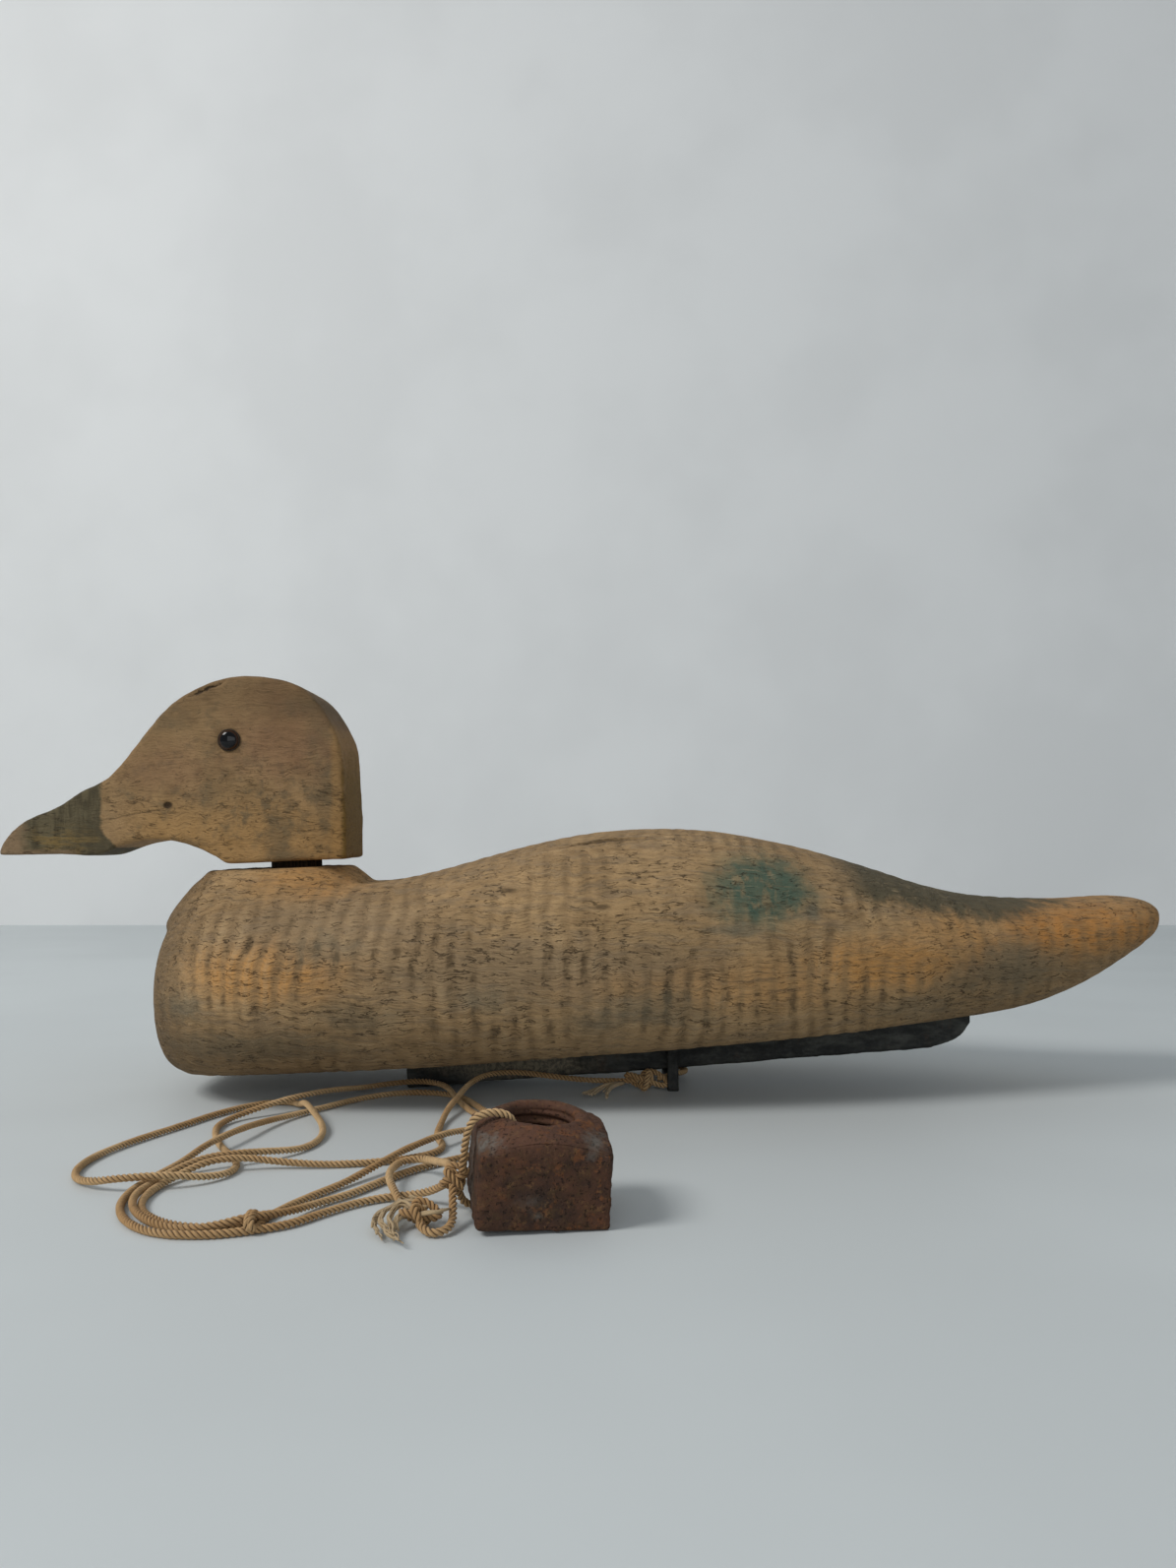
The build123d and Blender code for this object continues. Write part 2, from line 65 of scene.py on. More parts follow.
# ---------------------------------------------------------------- mesh helpers

def add_mesh(name, points, faces, smooth=True):
    """A mesh object from points in millimetres."""
    mesh = bpy.data.meshes.new(name)
    mesh.from_pydata((np.asarray(points, float) * MM).tolist(), [], faces)
    if smooth:
        mesh.polygons.foreach_set("use_smooth", [True] * len(mesh.polygons))
    mesh.update()
    piece = bpy.data.objects.new(name, mesh)
    SCENE.collection.objects.link(piece)
    return piece


def circle(around):
    """Angles of points evenly round a circle."""
    return np.linspace(0, 2 * math.pi, around, endpoint=False)


def grid_faces(rings, around, closed=False, start=0, ends=False):
    """Quads over rings of points, each closed round; ends adds a face at both ends."""
    faces = []
    for i in range(rings if closed else rings - 1):
        here = start + i * around
        there = start + ((i + 1) % rings) * around
        for j in range(around):
            k = (j + 1) % around
            faces.append((here + j, here + k, there + k, there + j))
    if ends:
        last = start + (rings - 1) * around
        faces.append(tuple(range(start, start + around))[::-1])
        faces.append(tuple(range(last, last + around)))
    return faces


def mark_points(piece, name, values):
    """Values for a piece's points that its material reads by name."""
    kind, field = ("FLOAT_VECTOR", "vector") if values.ndim == 2 else ("FLOAT", "value")
    attribute = piece.data.attributes.new(name, kind, "POINT")
    attribute.data.foreach_set(field, values.astype(np.float32).ravel())


def points_of(piece):
    """A mesh's points in millimetres."""
    flat = np.empty(len(piece.data.vertices) * 3, np.float32)
    piece.data.vertices.foreach_get("co", flat)
    return flat.reshape(-1, 3).astype(float) / MM


def move_points(piece, points):
    piece.data.vertices.foreach_set("co", (points * MM).astype(np.float32).ravel())
    piece.data.update()


def normals_of(piece):
    flat = np.empty(len(piece.data.vertices) * 3, np.float32)
    piece.data.vertex_normals.foreach_get("vector", flat)
    return flat.reshape(-1, 3).astype(float)


def remeshed(node, name, voxel, smoothing):
    """A fine, even mesh over a CAD node, with its edges softened."""
    piece = bpy.data.objects.new(name, NODES[node].data.copy())
    SCENE.collection.objects.link(piece)
    remesh = piece.modifiers.new("remesh", "REMESH")
    remesh.mode = "VOXEL"
    remesh.voxel_size = voxel * MM
    soften = piece.modifiers.new("soften", "SMOOTH")
    soften.factor = 0.5
    soften.iterations = smoothing
    shown = piece.evaluated_get(bpy.context.evaluated_depsgraph_get())
    mesh = bpy.data.meshes.new_from_object(shown)
    piece.modifiers.clear()
    piece.data = mesh
    mesh.materials.clear()
    mesh.polygons.foreach_set("use_smooth", [True] * len(mesh.polygons))
    return piece


def value_noise(points, wavelength, seed):
    """Smooth noise from -1 to 1; wavelength is one number or one for each axis."""
    place = np.asarray(points, float) / np.asarray(wavelength, float) + seed * 19.37
    cell = np.floor(place).astype(np.int64)
    part = place - cell
    part = part * part * (3 - 2 * part)
    total = np.zeros(len(place))
    for corner in range(8):
        step = np.array([corner & 1, corner >> 1 & 1, corner >> 2 & 1])
        mixed = (cell + step) @ np.array([73856093, 19349663, 83492791])
        mixed = (mixed ^ (mixed >> 13)) * 1274126177 & 0xFFFFFFFF
        mixed = (mixed ^ (mixed >> 16)) * 2246822519 & 0xFFFFFFFF
        value = (mixed >> 8) / float(1 << 23) - 1
        weight = np.where(step, part, 1 - part).prod(axis=1)
        total += value * weight
    return total


def layers(points, seed, *rows):
    """Noise of several wavelengths added up; a row is an amount and a wavelength."""
    total = 0
    for number, (amount, wavelength) in enumerate(rows):
        total = total + amount * value_noise(points, wavelength, seed + number)
    return total


def smooth_step(value, low, high):
    part = np.clip((value - low) / (high - low), 0, 1)
    return part * part * (3 - 2 * part)


def lathe(name, profile, centre, direction, around=64):
    """A closed solid of revolution: radius and height rows, height along direction."""
    centre, axis = np.array(centre), np.array(direction, float)
    side = np.array([1.0, 0, 0])
    other = np.cross(axis, side)
    points = [centre + axis * profile[0][1]]
    for radius, height in profile[1:-1]:
        for angle in circle(around):
            out = side * math.cos(angle) + other * math.sin(angle)
            points.append(centre + out * radius + axis * height)
    points.append(centre + axis * profile[-1][1])
    rings = len(profile) - 2
    faces = grid_faces(rings, around, start=1)
    last = len(points) - 1
    for j in range(around):
        k = (j + 1) % around
        faces.append((0, 1 + k, 1 + j))
        faces.append((last, 1 + (rings - 1) * around + j, 1 + (rings - 1) * around + k))
    return add_mesh(name, points, faces)


# ---------------------------------------------------------------- cords

CORD = 2.1          # diameter
LAY = 4.3           # length in which a strand goes once round
ROPE_STEP, ROPE_AROUND = 0.36, 24       # how finely a rope is meshed
FIBRE_STEP, FIBRE_AROUND = 0.8, 5
STRAND_SHARE = 0.53                     # a strand's radius over its rope's

# Routes of the cords, the same points as the CAD tubes follow.
ANCHOR_LINE = [
    # along the keel and down to the floor
    (22.0, -16.5, 3.8), (8.0, -15.6, 3.2), (-8.0, -15.4, 4.8), (-22.0, -15.8, 6.8),
    (-33.0, -19.5, 6.8), (-38.5, -31.0, 5.6), (-40.5, -45.0, 4.4), (-42.8, -59.0, 3.0),
    (-43.5, -74.0, 1.12), (-43.0, -90.0, 1.12), (-38.5, -103.5, 1.12),
    # first pass of the hank, towards the breast
    (-43.0, -113.0, 1.12), (-55.0, -119.5, 1.12), (-70.0, -122.5, 1.12),
    (-83.0, -122.5, 2.0), (-92.0, -124.5, 3.8), (-101.0, -128.0, 3.8),
    (-107.0, -134.5, 1.6), (-109.7, -144.0, 1.12), (-109.6, -155.0, 1.12),
    (-106.2, -165.0, 1.12), (-100.0, -172.7, 1.12), (-92.0, -177.3, 1.12),
    (-82.5, -177.8, 1.12), (-75.0, -174.5, 1.12),
    # back towards the nut, behind it, and out along the keel's front end
    (-72.8, -166.0, 1.12), (-68.0, -154.0, 1.12), (-61.0, -141.0, 1.12),
    (-55.0, -130.0, 2.6), (-50.0, -120.0, 3.8), (-45.6, -109.5, 3.8),
    (-40.0, -98.0, 3.8), (-35.0, -90.0, 3.0), (-28.0, -83.0, 1.6), (-24.5, -75.0, 1.12),
    (-29.0, -66.0, 1.12), (-35.0, -57.0, 1.12), (-38.5, -47.0, 1.12),
    (-42.0, -38.0, 1.4), (-45.6, -30.0, 3.6), (-50.0, -22.0, 3.8), (-58.0, -17.0, 3.8),
    (-68.5, -18.5, 3.0), (-77.0, -26.0, 3.0), (-85.0, -38.0, 4.8), (-94.5, -49.0, 5.0),
    (-104.0, -57.5, 3.4),
    # down to the turn under the hank, and the long loop past the breast
    (-112.0, -65.0, 1.5), (-114.5, -76.0, 1.12), (-111.0, -89.0, 1.12),
    (-106.0, -101.0, 1.12), (-99.5, -112.0, 1.12), (-94.5, -122.0, 1.12),
    (-94.0, -131.0, 1.12), (-99.0, -138.0, 1.9), (-107.0, -143.0, 3.9),
    (-119.0, -146.0, 3.9), (-127.5, -143.5, 2.2), (-134.5, -136.5, 1.12),
    (-138.5, -125.0, 1.12), (-138.0, -110.0, 1.12), (-133.0, -93.0, 1.12),
    (-126.0, -76.5, 1.12), (-120.5, -61.0, 1.12), (-114.0, -49.0, 1.12),
    (-106.5, -41.5, 1.12), (-98.5, -41.0, 1.12),
    # the middle loop, and the second pass of the hank
    (-94.5, -48.0, 1.8), (-90.5, -57.5, 4.7), (-85.5, -68.0, 4.0), (-79.5, -80.0, 2.0),
    (-77.5, -93.0, 1.12), (-80.0, -105.0, 1.12), (-87.5, -113.5, 2.6),
    (-94.5, -119.5, 3.8), (-103.0, -124.0, 3.8), (-110.0, -130.5, 1.6),
    (-111.7, -141.5, 1.3), (-111.6, -154.5, 2.3), (-108.3, -165.8, 2.1),
    (-101.6, -174.4, 1.7), (-93.0, -179.6, 1.12), (-83.5, -180.1, 2.2),
    (-75.5, -177.2, 3.7),
    # the second way back, round behind the nut
    (-69.5, -170.8, 2.4), (-64.0, -158.5, 1.12), (-57.0, -150.0, 1.12),
    (-51.0, -138.0, 1.12), (-43.0, -125.0, 1.12), (-32.0, -114.0, 1.12),
    (-20.0, -104.0, 1.12), (-13.5, -91.0, 1.12), (-15.0, -77.0, 1.12),
    (-23.5, -66.0, 1.12), (-31.0, -55.0, 1.12), (-35.8, -43.5, 1.12),
    (-41.5, -31.5, 1.12), (-51.0, -25.0, 1.12), (-63.5, -24.8, 1.12),
    (-75.5, -34.0, 1.12), (-84.5, -47.0, 1.12), (-93.0, -60.0, 1.12),
    (-99.0, -75.0, 2.4), (-102.5, -91.0, 3.8), (-107.0, -109.0, 3.8),
    (-110.0, -123.0, 1.8), (-113.7, -136.0, 1.12), (-115.2, -148.0, 1.12),
    (-113.2, -161.5, 1.12), (-106.8, -174.0, 1.12), (-97.0, -182.4, 1.12),
    (-85.0, -183.5, 1.12), (-75.5, -180.2, 1.12),
    # from the hank knot to the knot at the nut
    (-67.0, -175.5, 1.12), (-61.6, -167.0, 1.12), (-54.0, -157.5, 1.12),
    (-46.0, -152.5, 1.12), (-38.0, -155.0, 2.6), (-32.5, -160.5, 6.0),
    (-29.3, -166.0, 9.4),
]
LINE_HITCH = [
    (29.5, -15.0, 4.0), (34.0, -9.0, 4.4), (39.8, -2.0, 4.0), (41.5, 8.0, 3.2),
    (39.5, 17.0, 2.6), (34.5, 21.4, 2.2), (28.5, 18.5, 2.0), (25.5, 9.0, 2.2),
    (25.0, -3.0, 2.6), (26.5, -13.0, 3.4),
]
NUT_LASHING = [
    (-26.9, -168.5, 11.7), (-26.3, -169.9, 17.1), (-25.5, -171.2, 22.0),
    (-23.8, -172.0, 25.7), (-19.6, -171.5, 27.0), (-15.4, -170.0, 25.9),
    (-13.9, -168.5, 22.0), (-14.4, -166.7, 15.7), (-15.1, -164.4, 9.6),
    (-15.8, -163.0, 5.8), (-16.3, -162.4, 3.1), (-17.8, -161.9, 1.45),
    (-21.6, -161.6, 1.4), (-25.4, -162.0, 1.6), (-28.0, -163.3, 3.6),
    (-28.3, -165.4, 7.4),
]
TAIL_LOOP = [
    (-29.5, -166.0, 10.8), (-31.0, -158.0, 10.6), (-33.5, -149.0, 8.8),
    (-36.4, -139.0, 6.4), (-39.8, -131.0, 4.8), (-43.2, -127.8, 4.2),
    (-46.9, -128.6, 3.9), (-48.8, -133.0, 3.9), (-49.2, -142.0, 3.9), (-46.8, -153.0, 4.3),
    (-43.2, -161.5, 2.6),
]
SHORT_TAIL = [
    (-29.2, -168.5, 8.6), (-28.8, -172.0, 4.8), (-28.2, -177.0, 2.0),
    (-30.0, -182.0, 1.3), (-34.0, -182.4, 1.3), (-36.0, -178.5, 2.2),
]


def line_through(route):
    """The smooth centreline of a route: its NURBS curve, read as points."""
    curve = bpy.data.curves.new("route", "CURVE")
    curve.dimensions = "3D"
    curve.resolution_u = 16
    spline = curve.splines.new("NURBS")
    spline.points.add(len(route) - 1)
    for point, (x, y, z) in zip(spline.points, route):
        point.co = (x * MM, y * MM, z * MM, 1)
    spline.order_u = 3
    spline.use_endpoint_u = True
    carrier = bpy.data.objects.new("route", curve)
    SCENE.collection.objects.link(carrier)
    mesh = bpy.data.meshes.new_from_object(carrier)
    flat = np.empty(len(mesh.vertices) * 3, np.float32)
    mesh.vertices.foreach_get("co", flat)
    bpy.data.objects.remove(carrier)
    bpy.data.curves.remove(curve)
    bpy.data.meshes.remove(mesh)
    return flat.reshape(-1, 3).astype(float) / MM


def evenly(points, step):
    """The same line with its points an even step apart, and their distances along it."""
    along = np.concatenate([[0], np.cumsum(np.linalg.norm(np.diff(points, axis=0), axis=1))])
    wanted = np.linspace(0, along[-1], max(int(along[-1] / step), 3) + 1)
    return np.stack([np.interp(wanted, along, points[:, k]) for k in range(3)], 1), wanted


def frames_along(points):
    """Two directions square to an open line, which don't spin along it."""
    tangents = np.gradient(points, axis=0)
    tangents /= np.linalg.norm(tangents, axis=1)[:, None]
    start = np.cross(tangents[0], [0.13, 0.21, 1.0])
    sides = [start / np.linalg.norm(start)]
    for tangent in tangents[1:]:
        side = sides[-1] - tangent * (sides[-1] @ tangent)
        sides.append(side / np.linalg.norm(side))
    sides = np.array(sides)
    return sides, np.cross(tangents, sides)


def rings_along(points, angles, reach, lowest):
    """Rings of points round a line, none of them under the table."""
    sides, others = frames_along(points)
    skin = (
        points[:, None]
        + sides[:, None] * (reach * np.cos(angles))[..., None]
        + others[:, None] * (reach * np.sin(angles))[..., None]
    ).reshape(-1, 3)
    skin[:, 2] = np.maximum(skin[:, 2], lowest)
    return skin


def rope(name, centreline, diameter=CORD, seed=1):
    """A three-strand twisted cord along a line, closed at both ends."""
    points, along = evenly(np.asarray(centreline, float), ROPE_STEP)
    angles = circle(ROPE_AROUND)
    radius = diameter / 2
    strand = STRAND_SHARE * radius
    offset = radius - strand
    inside = (angles + math.pi / 3) % (2 * math.pi / 3) - math.pi / 3
    lobe = offset * np.cos(inside) + np.sqrt(strand ** 2 - (offset * np.sin(inside)) ** 2)
    wobble = 1 + 0.045 * value_noise(points, 3.1, seed) + 0.04 * value_noise(points, 11.0, seed + 1)
    wobble = np.minimum(wobble, 1.05)
    twist = 2 * math.pi * along / LAY + 0.5 * value_noise(points, 17.0, seed + 2)
    reach = lobe[None, :] * wobble[:, None]
    skin = rings_along(points, angles[None, :] + twist[:, None], reach, 0.03)
    count = len(points)
    piece = add_mesh(name, skin, grid_faces(count, ROPE_AROUND, ends=True))
    # the third value is how far out a point sits; the material darkens the low ones as painted shade in
    # the grooves
    mark_points(piece, "fibre", np.stack([
        np.repeat(along, ROPE_AROUND),
        np.tile(angles, count) * radius,
        np.tile((lobe - lobe.min()) / (lobe.max() - lobe.min()), count),
    ], 1))
    return piece


def fibres(name, bundles, thickness, seed, count, wave):
    """Loose wavy fibres: each bundle is a list of points that its fibres follow."""
    angles = circle(FIBRE_AROUND)
    all_points, faces, marks = [], [], []
    random = np.random.default_rng(seed)
    start = 0
    for bundle, spread in bundles:
        line = line_through(bundle)
        for _ in range(count):
            share = random.uniform(0.72, 1.06)
            points, along = evenly(line, FIBRE_STEP)
            points = points[: max(int(len(points) * min(share, 1.0)), 4)]
            along = along[: len(points)]
            part = along / along[-1]
            sides, others = frames_along(points)
            away = random.normal(size=2) * spread * 0.5
            phase = random.uniform(0, 6.28, 2)
            pitch = random.uniform(2.0, 4.0)
            swing = wave * random.uniform(0.25, 1.0)
            grow = 0.25 + 0.75 * part
            left = away[0] * grow + swing * part * np.sin(along / pitch * 2 + phase[0])
            up = away[1] * grow + swing * part * np.sin(along / pitch * 1.7 + phase[1])
            points = points + sides * left[:, None] + others * up[:, None]
            reach = thickness * random.choice([0.45, 0.8, 1.6]) * (1 - 0.45 * part)
            all_points.append(rings_along(points, angles, reach[:, None], 0.06))
            faces += grid_faces(len(points), FIBRE_AROUND, start=start, ends=True)
            start += len(all_points[-1])
            shade = random.uniform(0, 40)
            marks.append(np.stack([
                np.repeat(along, FIBRE_AROUND) + shade, np.tile(angles, len(points)),
                np.repeat(0.4 + 0.6 * part, FIBRE_AROUND),
            ], 1))
    piece = add_mesh(name, np.concatenate(all_points), faces)
    mark_points(piece, "fibre", np.concatenate(marks))
    return piece


def tied(centre, half_sizes, lean):
    """The closed path of a tight overhand knot that fills a rounded box."""
    t = np.linspace(0, 2 * math.pi, 140)
    room = np.array(half_sizes) - CORD / 2
    grow = 1 + 0.12 * np.sin(t + 1.1)
    x = (np.sin(t) + 2 * np.sin(2 * t)) / 2.75 * grow
    y = (np.cos(t) - 2 * np.cos(2 * t)) / 2.9 * grow
    z = -np.sin(3 * t)
    turned = x * math.cos(lean) - z * math.sin(lean), y, x * math.sin(lean) + z * math.cos(lean)
    return np.stack(turned, 1) * room + np.array(centre)


def wrapped(centre, half_sizes, turns, width):
    """Turns of cord wound round strands that run along X."""
    t = np.linspace(0, 2 * math.pi * turns, 60 * turns)
    room = np.array(half_sizes) - CORD / 2
    return np.stack([
        centre[0] + (t / t[-1] - 0.5) * width + 0.5 * np.sin(t * 0.5 + 0.4),
        centre[1] + room[1] * np.cos(t),
        centre[2] + room[2] * np.sin(t),
    ], 1)


def finished(piece, body, *replaced):
    """A piece that stands for CAD nodes and moves with their body."""
    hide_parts(*replaced)
    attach(piece, body)
    return piece


ROUTES = {
    "anchor_line": ANCHOR_LINE, "line_hitch": LINE_HITCH, "nut_lashing": NUT_LASHING,
    "tail_loop": TAIL_LOOP, "short_tail": SHORT_TAIL,
}
lines = {name: line_through(route) for name, route in ROUTES.items()}
cords = {}
for number, (name, line) in enumerate(lines.items()):
    cords[name] = rope(name + "_rope", line, seed=5 + 7 * number)
    finished(cords[name], "decoy", name)

# Each knot's cord path, cord diameter and seed.
KNOTS = {
    "hitch_knot": (tied((25.0, -16.2, 3.9), (7.2, 3.6, 3.7), 0.25), CORD, 41),
    "hank_knot": (wrapped((-75.3, -177.4, 2.6), (3.2, 4.6, 2.5), 2, 3.4), 1.9, 43),
    "nut_knot": (tied((-28.9, -167.3, 10.0), (3.3, 3.2, 3.6), 1.2), 2.0, 47),
    "tail_knot": (tied((-36.3, -175.0, 3.4), (4.2, 4.6, 3.3), 0.7), CORD, 53),
}
knots = {}
for name, (path, diameter, seed) in KNOTS.items():
    knots[name] = rope(name + "_turns", path, diameter, seed)
    finished(knots[name], "decoy", name)

hitch_fray = fibres("hitch_tail_fibres", [
    ([(16.5, -17.5, 3.2), (13.5, -20.5, 3.4), (10.5, -27.0, 2.8), (9.5, -36.0, 1.8)], 0.9),
    ([(16.0, -17.8, 3.0), (12.0, -20.0, 3.6), (7.0, -25.5, 2.6), (4.0, -34.0, 1.6)], 0.9),
    ([(16.0, -17.6, 2.6), (12.5, -19.0, 2.6), (7.5, -22.0, 2.2), (1.5, -30.0, 1.4)], 0.8),
], 0.36, 61, count=9, wave=0.35)
finished(hitch_fray, "decoy", "hitch_tail")
tassel = fibres("tail_tassel_fibres", [
    ([(-43.2, -161.5, 2.8), (-42.6, -166.0, 3.0), (-44.6, -170.5, 3.4), (-45.6, -176.0, 3.0),
      (-43.8, -181.5, 2.2), (-41.0, -187.0, 1.8), (-37.8, -190.5, 1.6)], 0.8),
    ([(-43.2, -161.5, 2.6), (-41.6, -167.0, 3.6), (-43.2, -172.0, 3.8), (-43.6, -177.5, 3.2),
      (-41.4, -183.0, 2.4), (-40.6, -188.0, 1.5)], 0.8),
    ([(-43.2, -161.5, 2.4), (-44.2, -166.5, 2.6), (-46.4, -171.5, 2.8), (-47.0, -177.0, 2.4),
      (-45.6, -182.0, 1.8), (-43.6, -186.0, 1.5)], 0.7),
    ([(-43.2, -161.5, 2.4), (-41.6, -165.5, 2.6), (-39.8, -169.0, 3.4), (-40.0, -174.0, 3.6),
      (-41.8, -178.5, 2.6), (-40.2, -183.0, 1.6)], 0.7),
], 0.34, 67, count=13, wave=0.6)
finished(tassel, "decoy", "tail_tassel")
stopper_fray = fibres("tail_knot_fibres", [
    ([(-37.0, -176.0, 4.2), (-39.5, -173.0, 5.4), (-42.0, -172.5, 5.0), (-43.5, -175.5, 3.6)], 0.9),
    ([(-36.0, -177.0, 4.0), (-33.5, -178.5, 4.8), (-31.0, -177.0, 4.6), (-30.5, -174.0, 4.4)], 0.9),
    ([(-35.0, -173.5, 4.4), (-36.0, -171.0, 5.2), (-39.0, -169.6, 5.4), (-41.5, -169.0, 5.8)], 0.7),
], 0.34, 71, count=8, wave=0.6)
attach(stopper_fray, "decoy")


# ---------------------------------------------------------------- the carved body

def tool_marks(points, seed):
    """Low ridges across the grain, from -1 to 1, left by the blade and by weathering."""
    phase = points[:, 0] / RIDGE_SPACING + 0.45 * value_noise(points, 24.0, seed)
    phase = phase + 0.16 * value_noise(points, 8.0, seed + 1)
    strength = 0.45 + 0.65 * value_noise(points, (20.0, 24.0, 14.0), seed + 2)
    return np.cos(2 * math.pi * phase) * np.clip(strength, 0.05, 1.0)


def weathered(points, seed):
    """Height of carved and weathered wood over its true surface."""
    return layers(
        points, seed, (0.32, 36.0), (0.16, (15.0, 11.0, 9.0)), (0.07, (7.0, 3.2, 2.4)),
        (0.05, (5.0, 1.9, 1.5)),
    )


def near(points, centre, sizes):
    """1 at a place, falling to 0 at its edge."""
    away = np.linalg.norm((points - np.array(centre)) / np.array(sizes), axis=1)
    return 1 - smooth_step(away, 0.0, 1.0)


RIDGE_SPACING, RIDGE_HEIGHT = 6.3, 0.16
NECK_AXIS_FOOT = np.array([-106.8, 0.0, 81.5])
NECK_AXIS = np.array([-0.036644, 0.0, 0.999328])
DOWEL_IN_BODY, DOWEL_LENGTH, DOWEL_RADIUS, DOWEL_END_RADIUS = 31.9, 64.5, 9.42, 8.9
EYE_X, EYE_Z, HEAD_SIDE = -126.5, 128.0, 21.3
EYE_RADIUS, EYE_RING_RADIUS, EYE_RING_THICKNESS = 3.65, 3.75, 0.34


def off_neck(points):
    """Distance from the neck dowel's axis."""
    away = points - NECK_AXIS_FOOT
    return np.linalg.norm(away - np.outer(away @ NECK_AXIS, NECK_AXIS), axis=1)


def carve_body():
    piece = remeshed("decoy_body", "decoy_body_carved", 1.15, 6)
    points, normals = points_of(piece), normals_of(piece)
    wave = tool_marks(points, 9)
    mark_points(piece, "ridge", 0.5 + 0.5 * wave)
    height = weathered(points, 3) + RIDGE_HEIGHT * wave
    calm = smooth_step(off_neck(points), 10.5, 15.0)
    seat = near(points, (-112.2, 0, 82.0), (44.0, 40.0, 5.0))
    height = np.where(seat > 0, np.minimum(height, 0.25), height)
    # a long check on the back, and three small knots
    drift = 1.1 * value_noise(points, 9.0, 31)
    check = np.abs(points[:, 1] + 30.0 + drift) < 0.9
    check &= (points[:, 0] > -2) & (points[:, 0] < 24) & (points[:, 2] > 80)
    height = height - 0.9 * check
    for centre in ((-23.5, -62.0, 75.0), (7.7, -58.0, 70.0), (-55.0, 61.0, 66.0)):
        height = height - 0.45 * near(points, centre, (3.2, 8.0, 1.3))
    points = points + normals * (height * calm)[:, None]
    low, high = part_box("decoy_body")
    points = np.clip(points, np.array(low) / MM - 0.6, np.array(high) / MM + 0.6)
    move_points(piece, points)
    return finished(piece, "decoy", "decoy_body")


def carve_head():
    piece = remeshed("head", "head_carved", 0.8, 2)
    points = points_of(piece)
    # the long edges are rounded over, less at the bill and the nape
    rounding = 0.25 + 0.75 * smooth_step(points[:, 0], -190.0, -160.0)
    rounding = rounding * (0.3 + 0.7 * smooth_step(points[:, 2], 86.0, 91.0))
    rounding = rounding * (1 - 0.75 * smooth_step(points[:, 0], -92.0, -88.0))
    rounding = rounding * smooth_step(off_neck(points), 11.5, 15.0)
    points = relaxed(points, edge_links(piece), rounding, 18)
    move_points(piece, points)
    normals = normals_of(piece)
    wave = tool_marks(points, 29)
    mark_points(piece, "ridge", 0.5 + 0.5 * wave)
    height = 0.75 * weathered(points, 23) + 0.3 * (RIDGE_HEIGHT * wave)
    height = height - 1.0 * near(points, (-149.3, -20.0, 104.4), (1.5, 5.0, 1.3))
    # the check along the crown
    line = 143.9 + (points[:, 0] + 141.0) * 0.42 + 0.9 * value_noise(points, 4.0, 37)
    check = (np.abs(points[:, 2] - line) < 0.5) & (points[:, 1] < -8)
    check &= (points[:, 0] > -141.5) & (points[:, 0] < -128.0)
    height = height - 0.9 * check
    calm = smooth_step(off_neck(points), 10.5, 15.0)
    eyes = np.maximum(*[near(points, (EYE_X, y, EYE_Z), (7, 8, 7)) for y in (-21, 21)])
    calm = calm * (1 - smooth_step(eyes, 0.05, 0.45))
    height = np.where(points[:, 2] < 86.3, np.minimum(height, 0.2), height)
    points = points + normals * (height * calm)[:, None]
    move_points(piece, points)
    return finished(piece, "head", "head")


def edge_links(piece):
    """A mesh's edges as pairs of point numbers."""
    pairs = np.empty(len(piece.data.edges) * 2, np.int32)
    piece.data.edges.foreach_get("vertices", pairs)
    return pairs.reshape(-1, 2)


def relaxed(points, links, share, times):
    """Points moved towards the middle of their neighbours, by a share for each point."""
    count = np.bincount(links.ravel(), minlength=len(points)).astype(float)
    first, second = links[:, 0], links[:, 1]
    for _ in range(times):
        middle = np.empty_like(points)
        for k in range(3):
            total = np.bincount(first, weights=points[second, k], minlength=len(points))
            total += np.bincount(second, weights=points[first, k], minlength=len(points))
            middle[:, k] = total / count
        points = points + (middle - points) * (0.6 * share)[:, None]
    return points


def rough_iron(node, name, voxel, smoothing, amount, seed):
    """A forged or cast piece, its faces scaled and its edges worn."""
    piece = remeshed(node, name, voxel, smoothing)
    points, normals = points_of(piece), normals_of(piece)
    height = layers(points, seed, (0.6, (22.0, 9.0, 7.0)), (0.4, (7.0, 4.0, 3.0)), (0.25, 2.2))
    points = points + normals * (height * amount)[:, None]
    points[:, 2] = np.maximum(points[:, 2], 0.0)
    move_points(piece, points)
    return finished(piece, "decoy", node)


def neck_dowel():
    """A turned dowel of dark, fibrous wood."""
    rows, around = 90, 96
    foot = NECK_AXIS_FOOT - NECK_AXIS * DOWEL_IN_BODY
    out = np.array([0.999328, 0.0, 0.036644])
    across = np.cross(NECK_AXIS, out)
    ring = np.stack([np.cos(circle(around)), np.sin(circle(around))], 1)
    points = []
    for height in np.linspace(0, DOWEL_LENGTH, rows):
        place = np.stack([ring[:, 0] * 9, ring[:, 1] * 9, np.full(around, height)], 1)
        fibre_depth = 0.16 * value_noise(place, (1.1, 1.1, 9.0), 83)
        radius = DOWEL_RADIUS if 0.6 < height < DOWEL_LENGTH - 0.6 else DOWEL_END_RADIUS
        radius = radius + np.minimum(fibre_depth, 0.06)
        centre = foot + NECK_AXIS * height
        points.append(
            centre + np.outer(ring[:, 0] * radius, out) + np.outer(ring[:, 1] * radius, across)
        )
    faces = grid_faces(rows, around, ends=True)
    return finished(add_mesh("neck_dowel_turned", np.concatenate(points), faces), "neck", "neck_dowel")


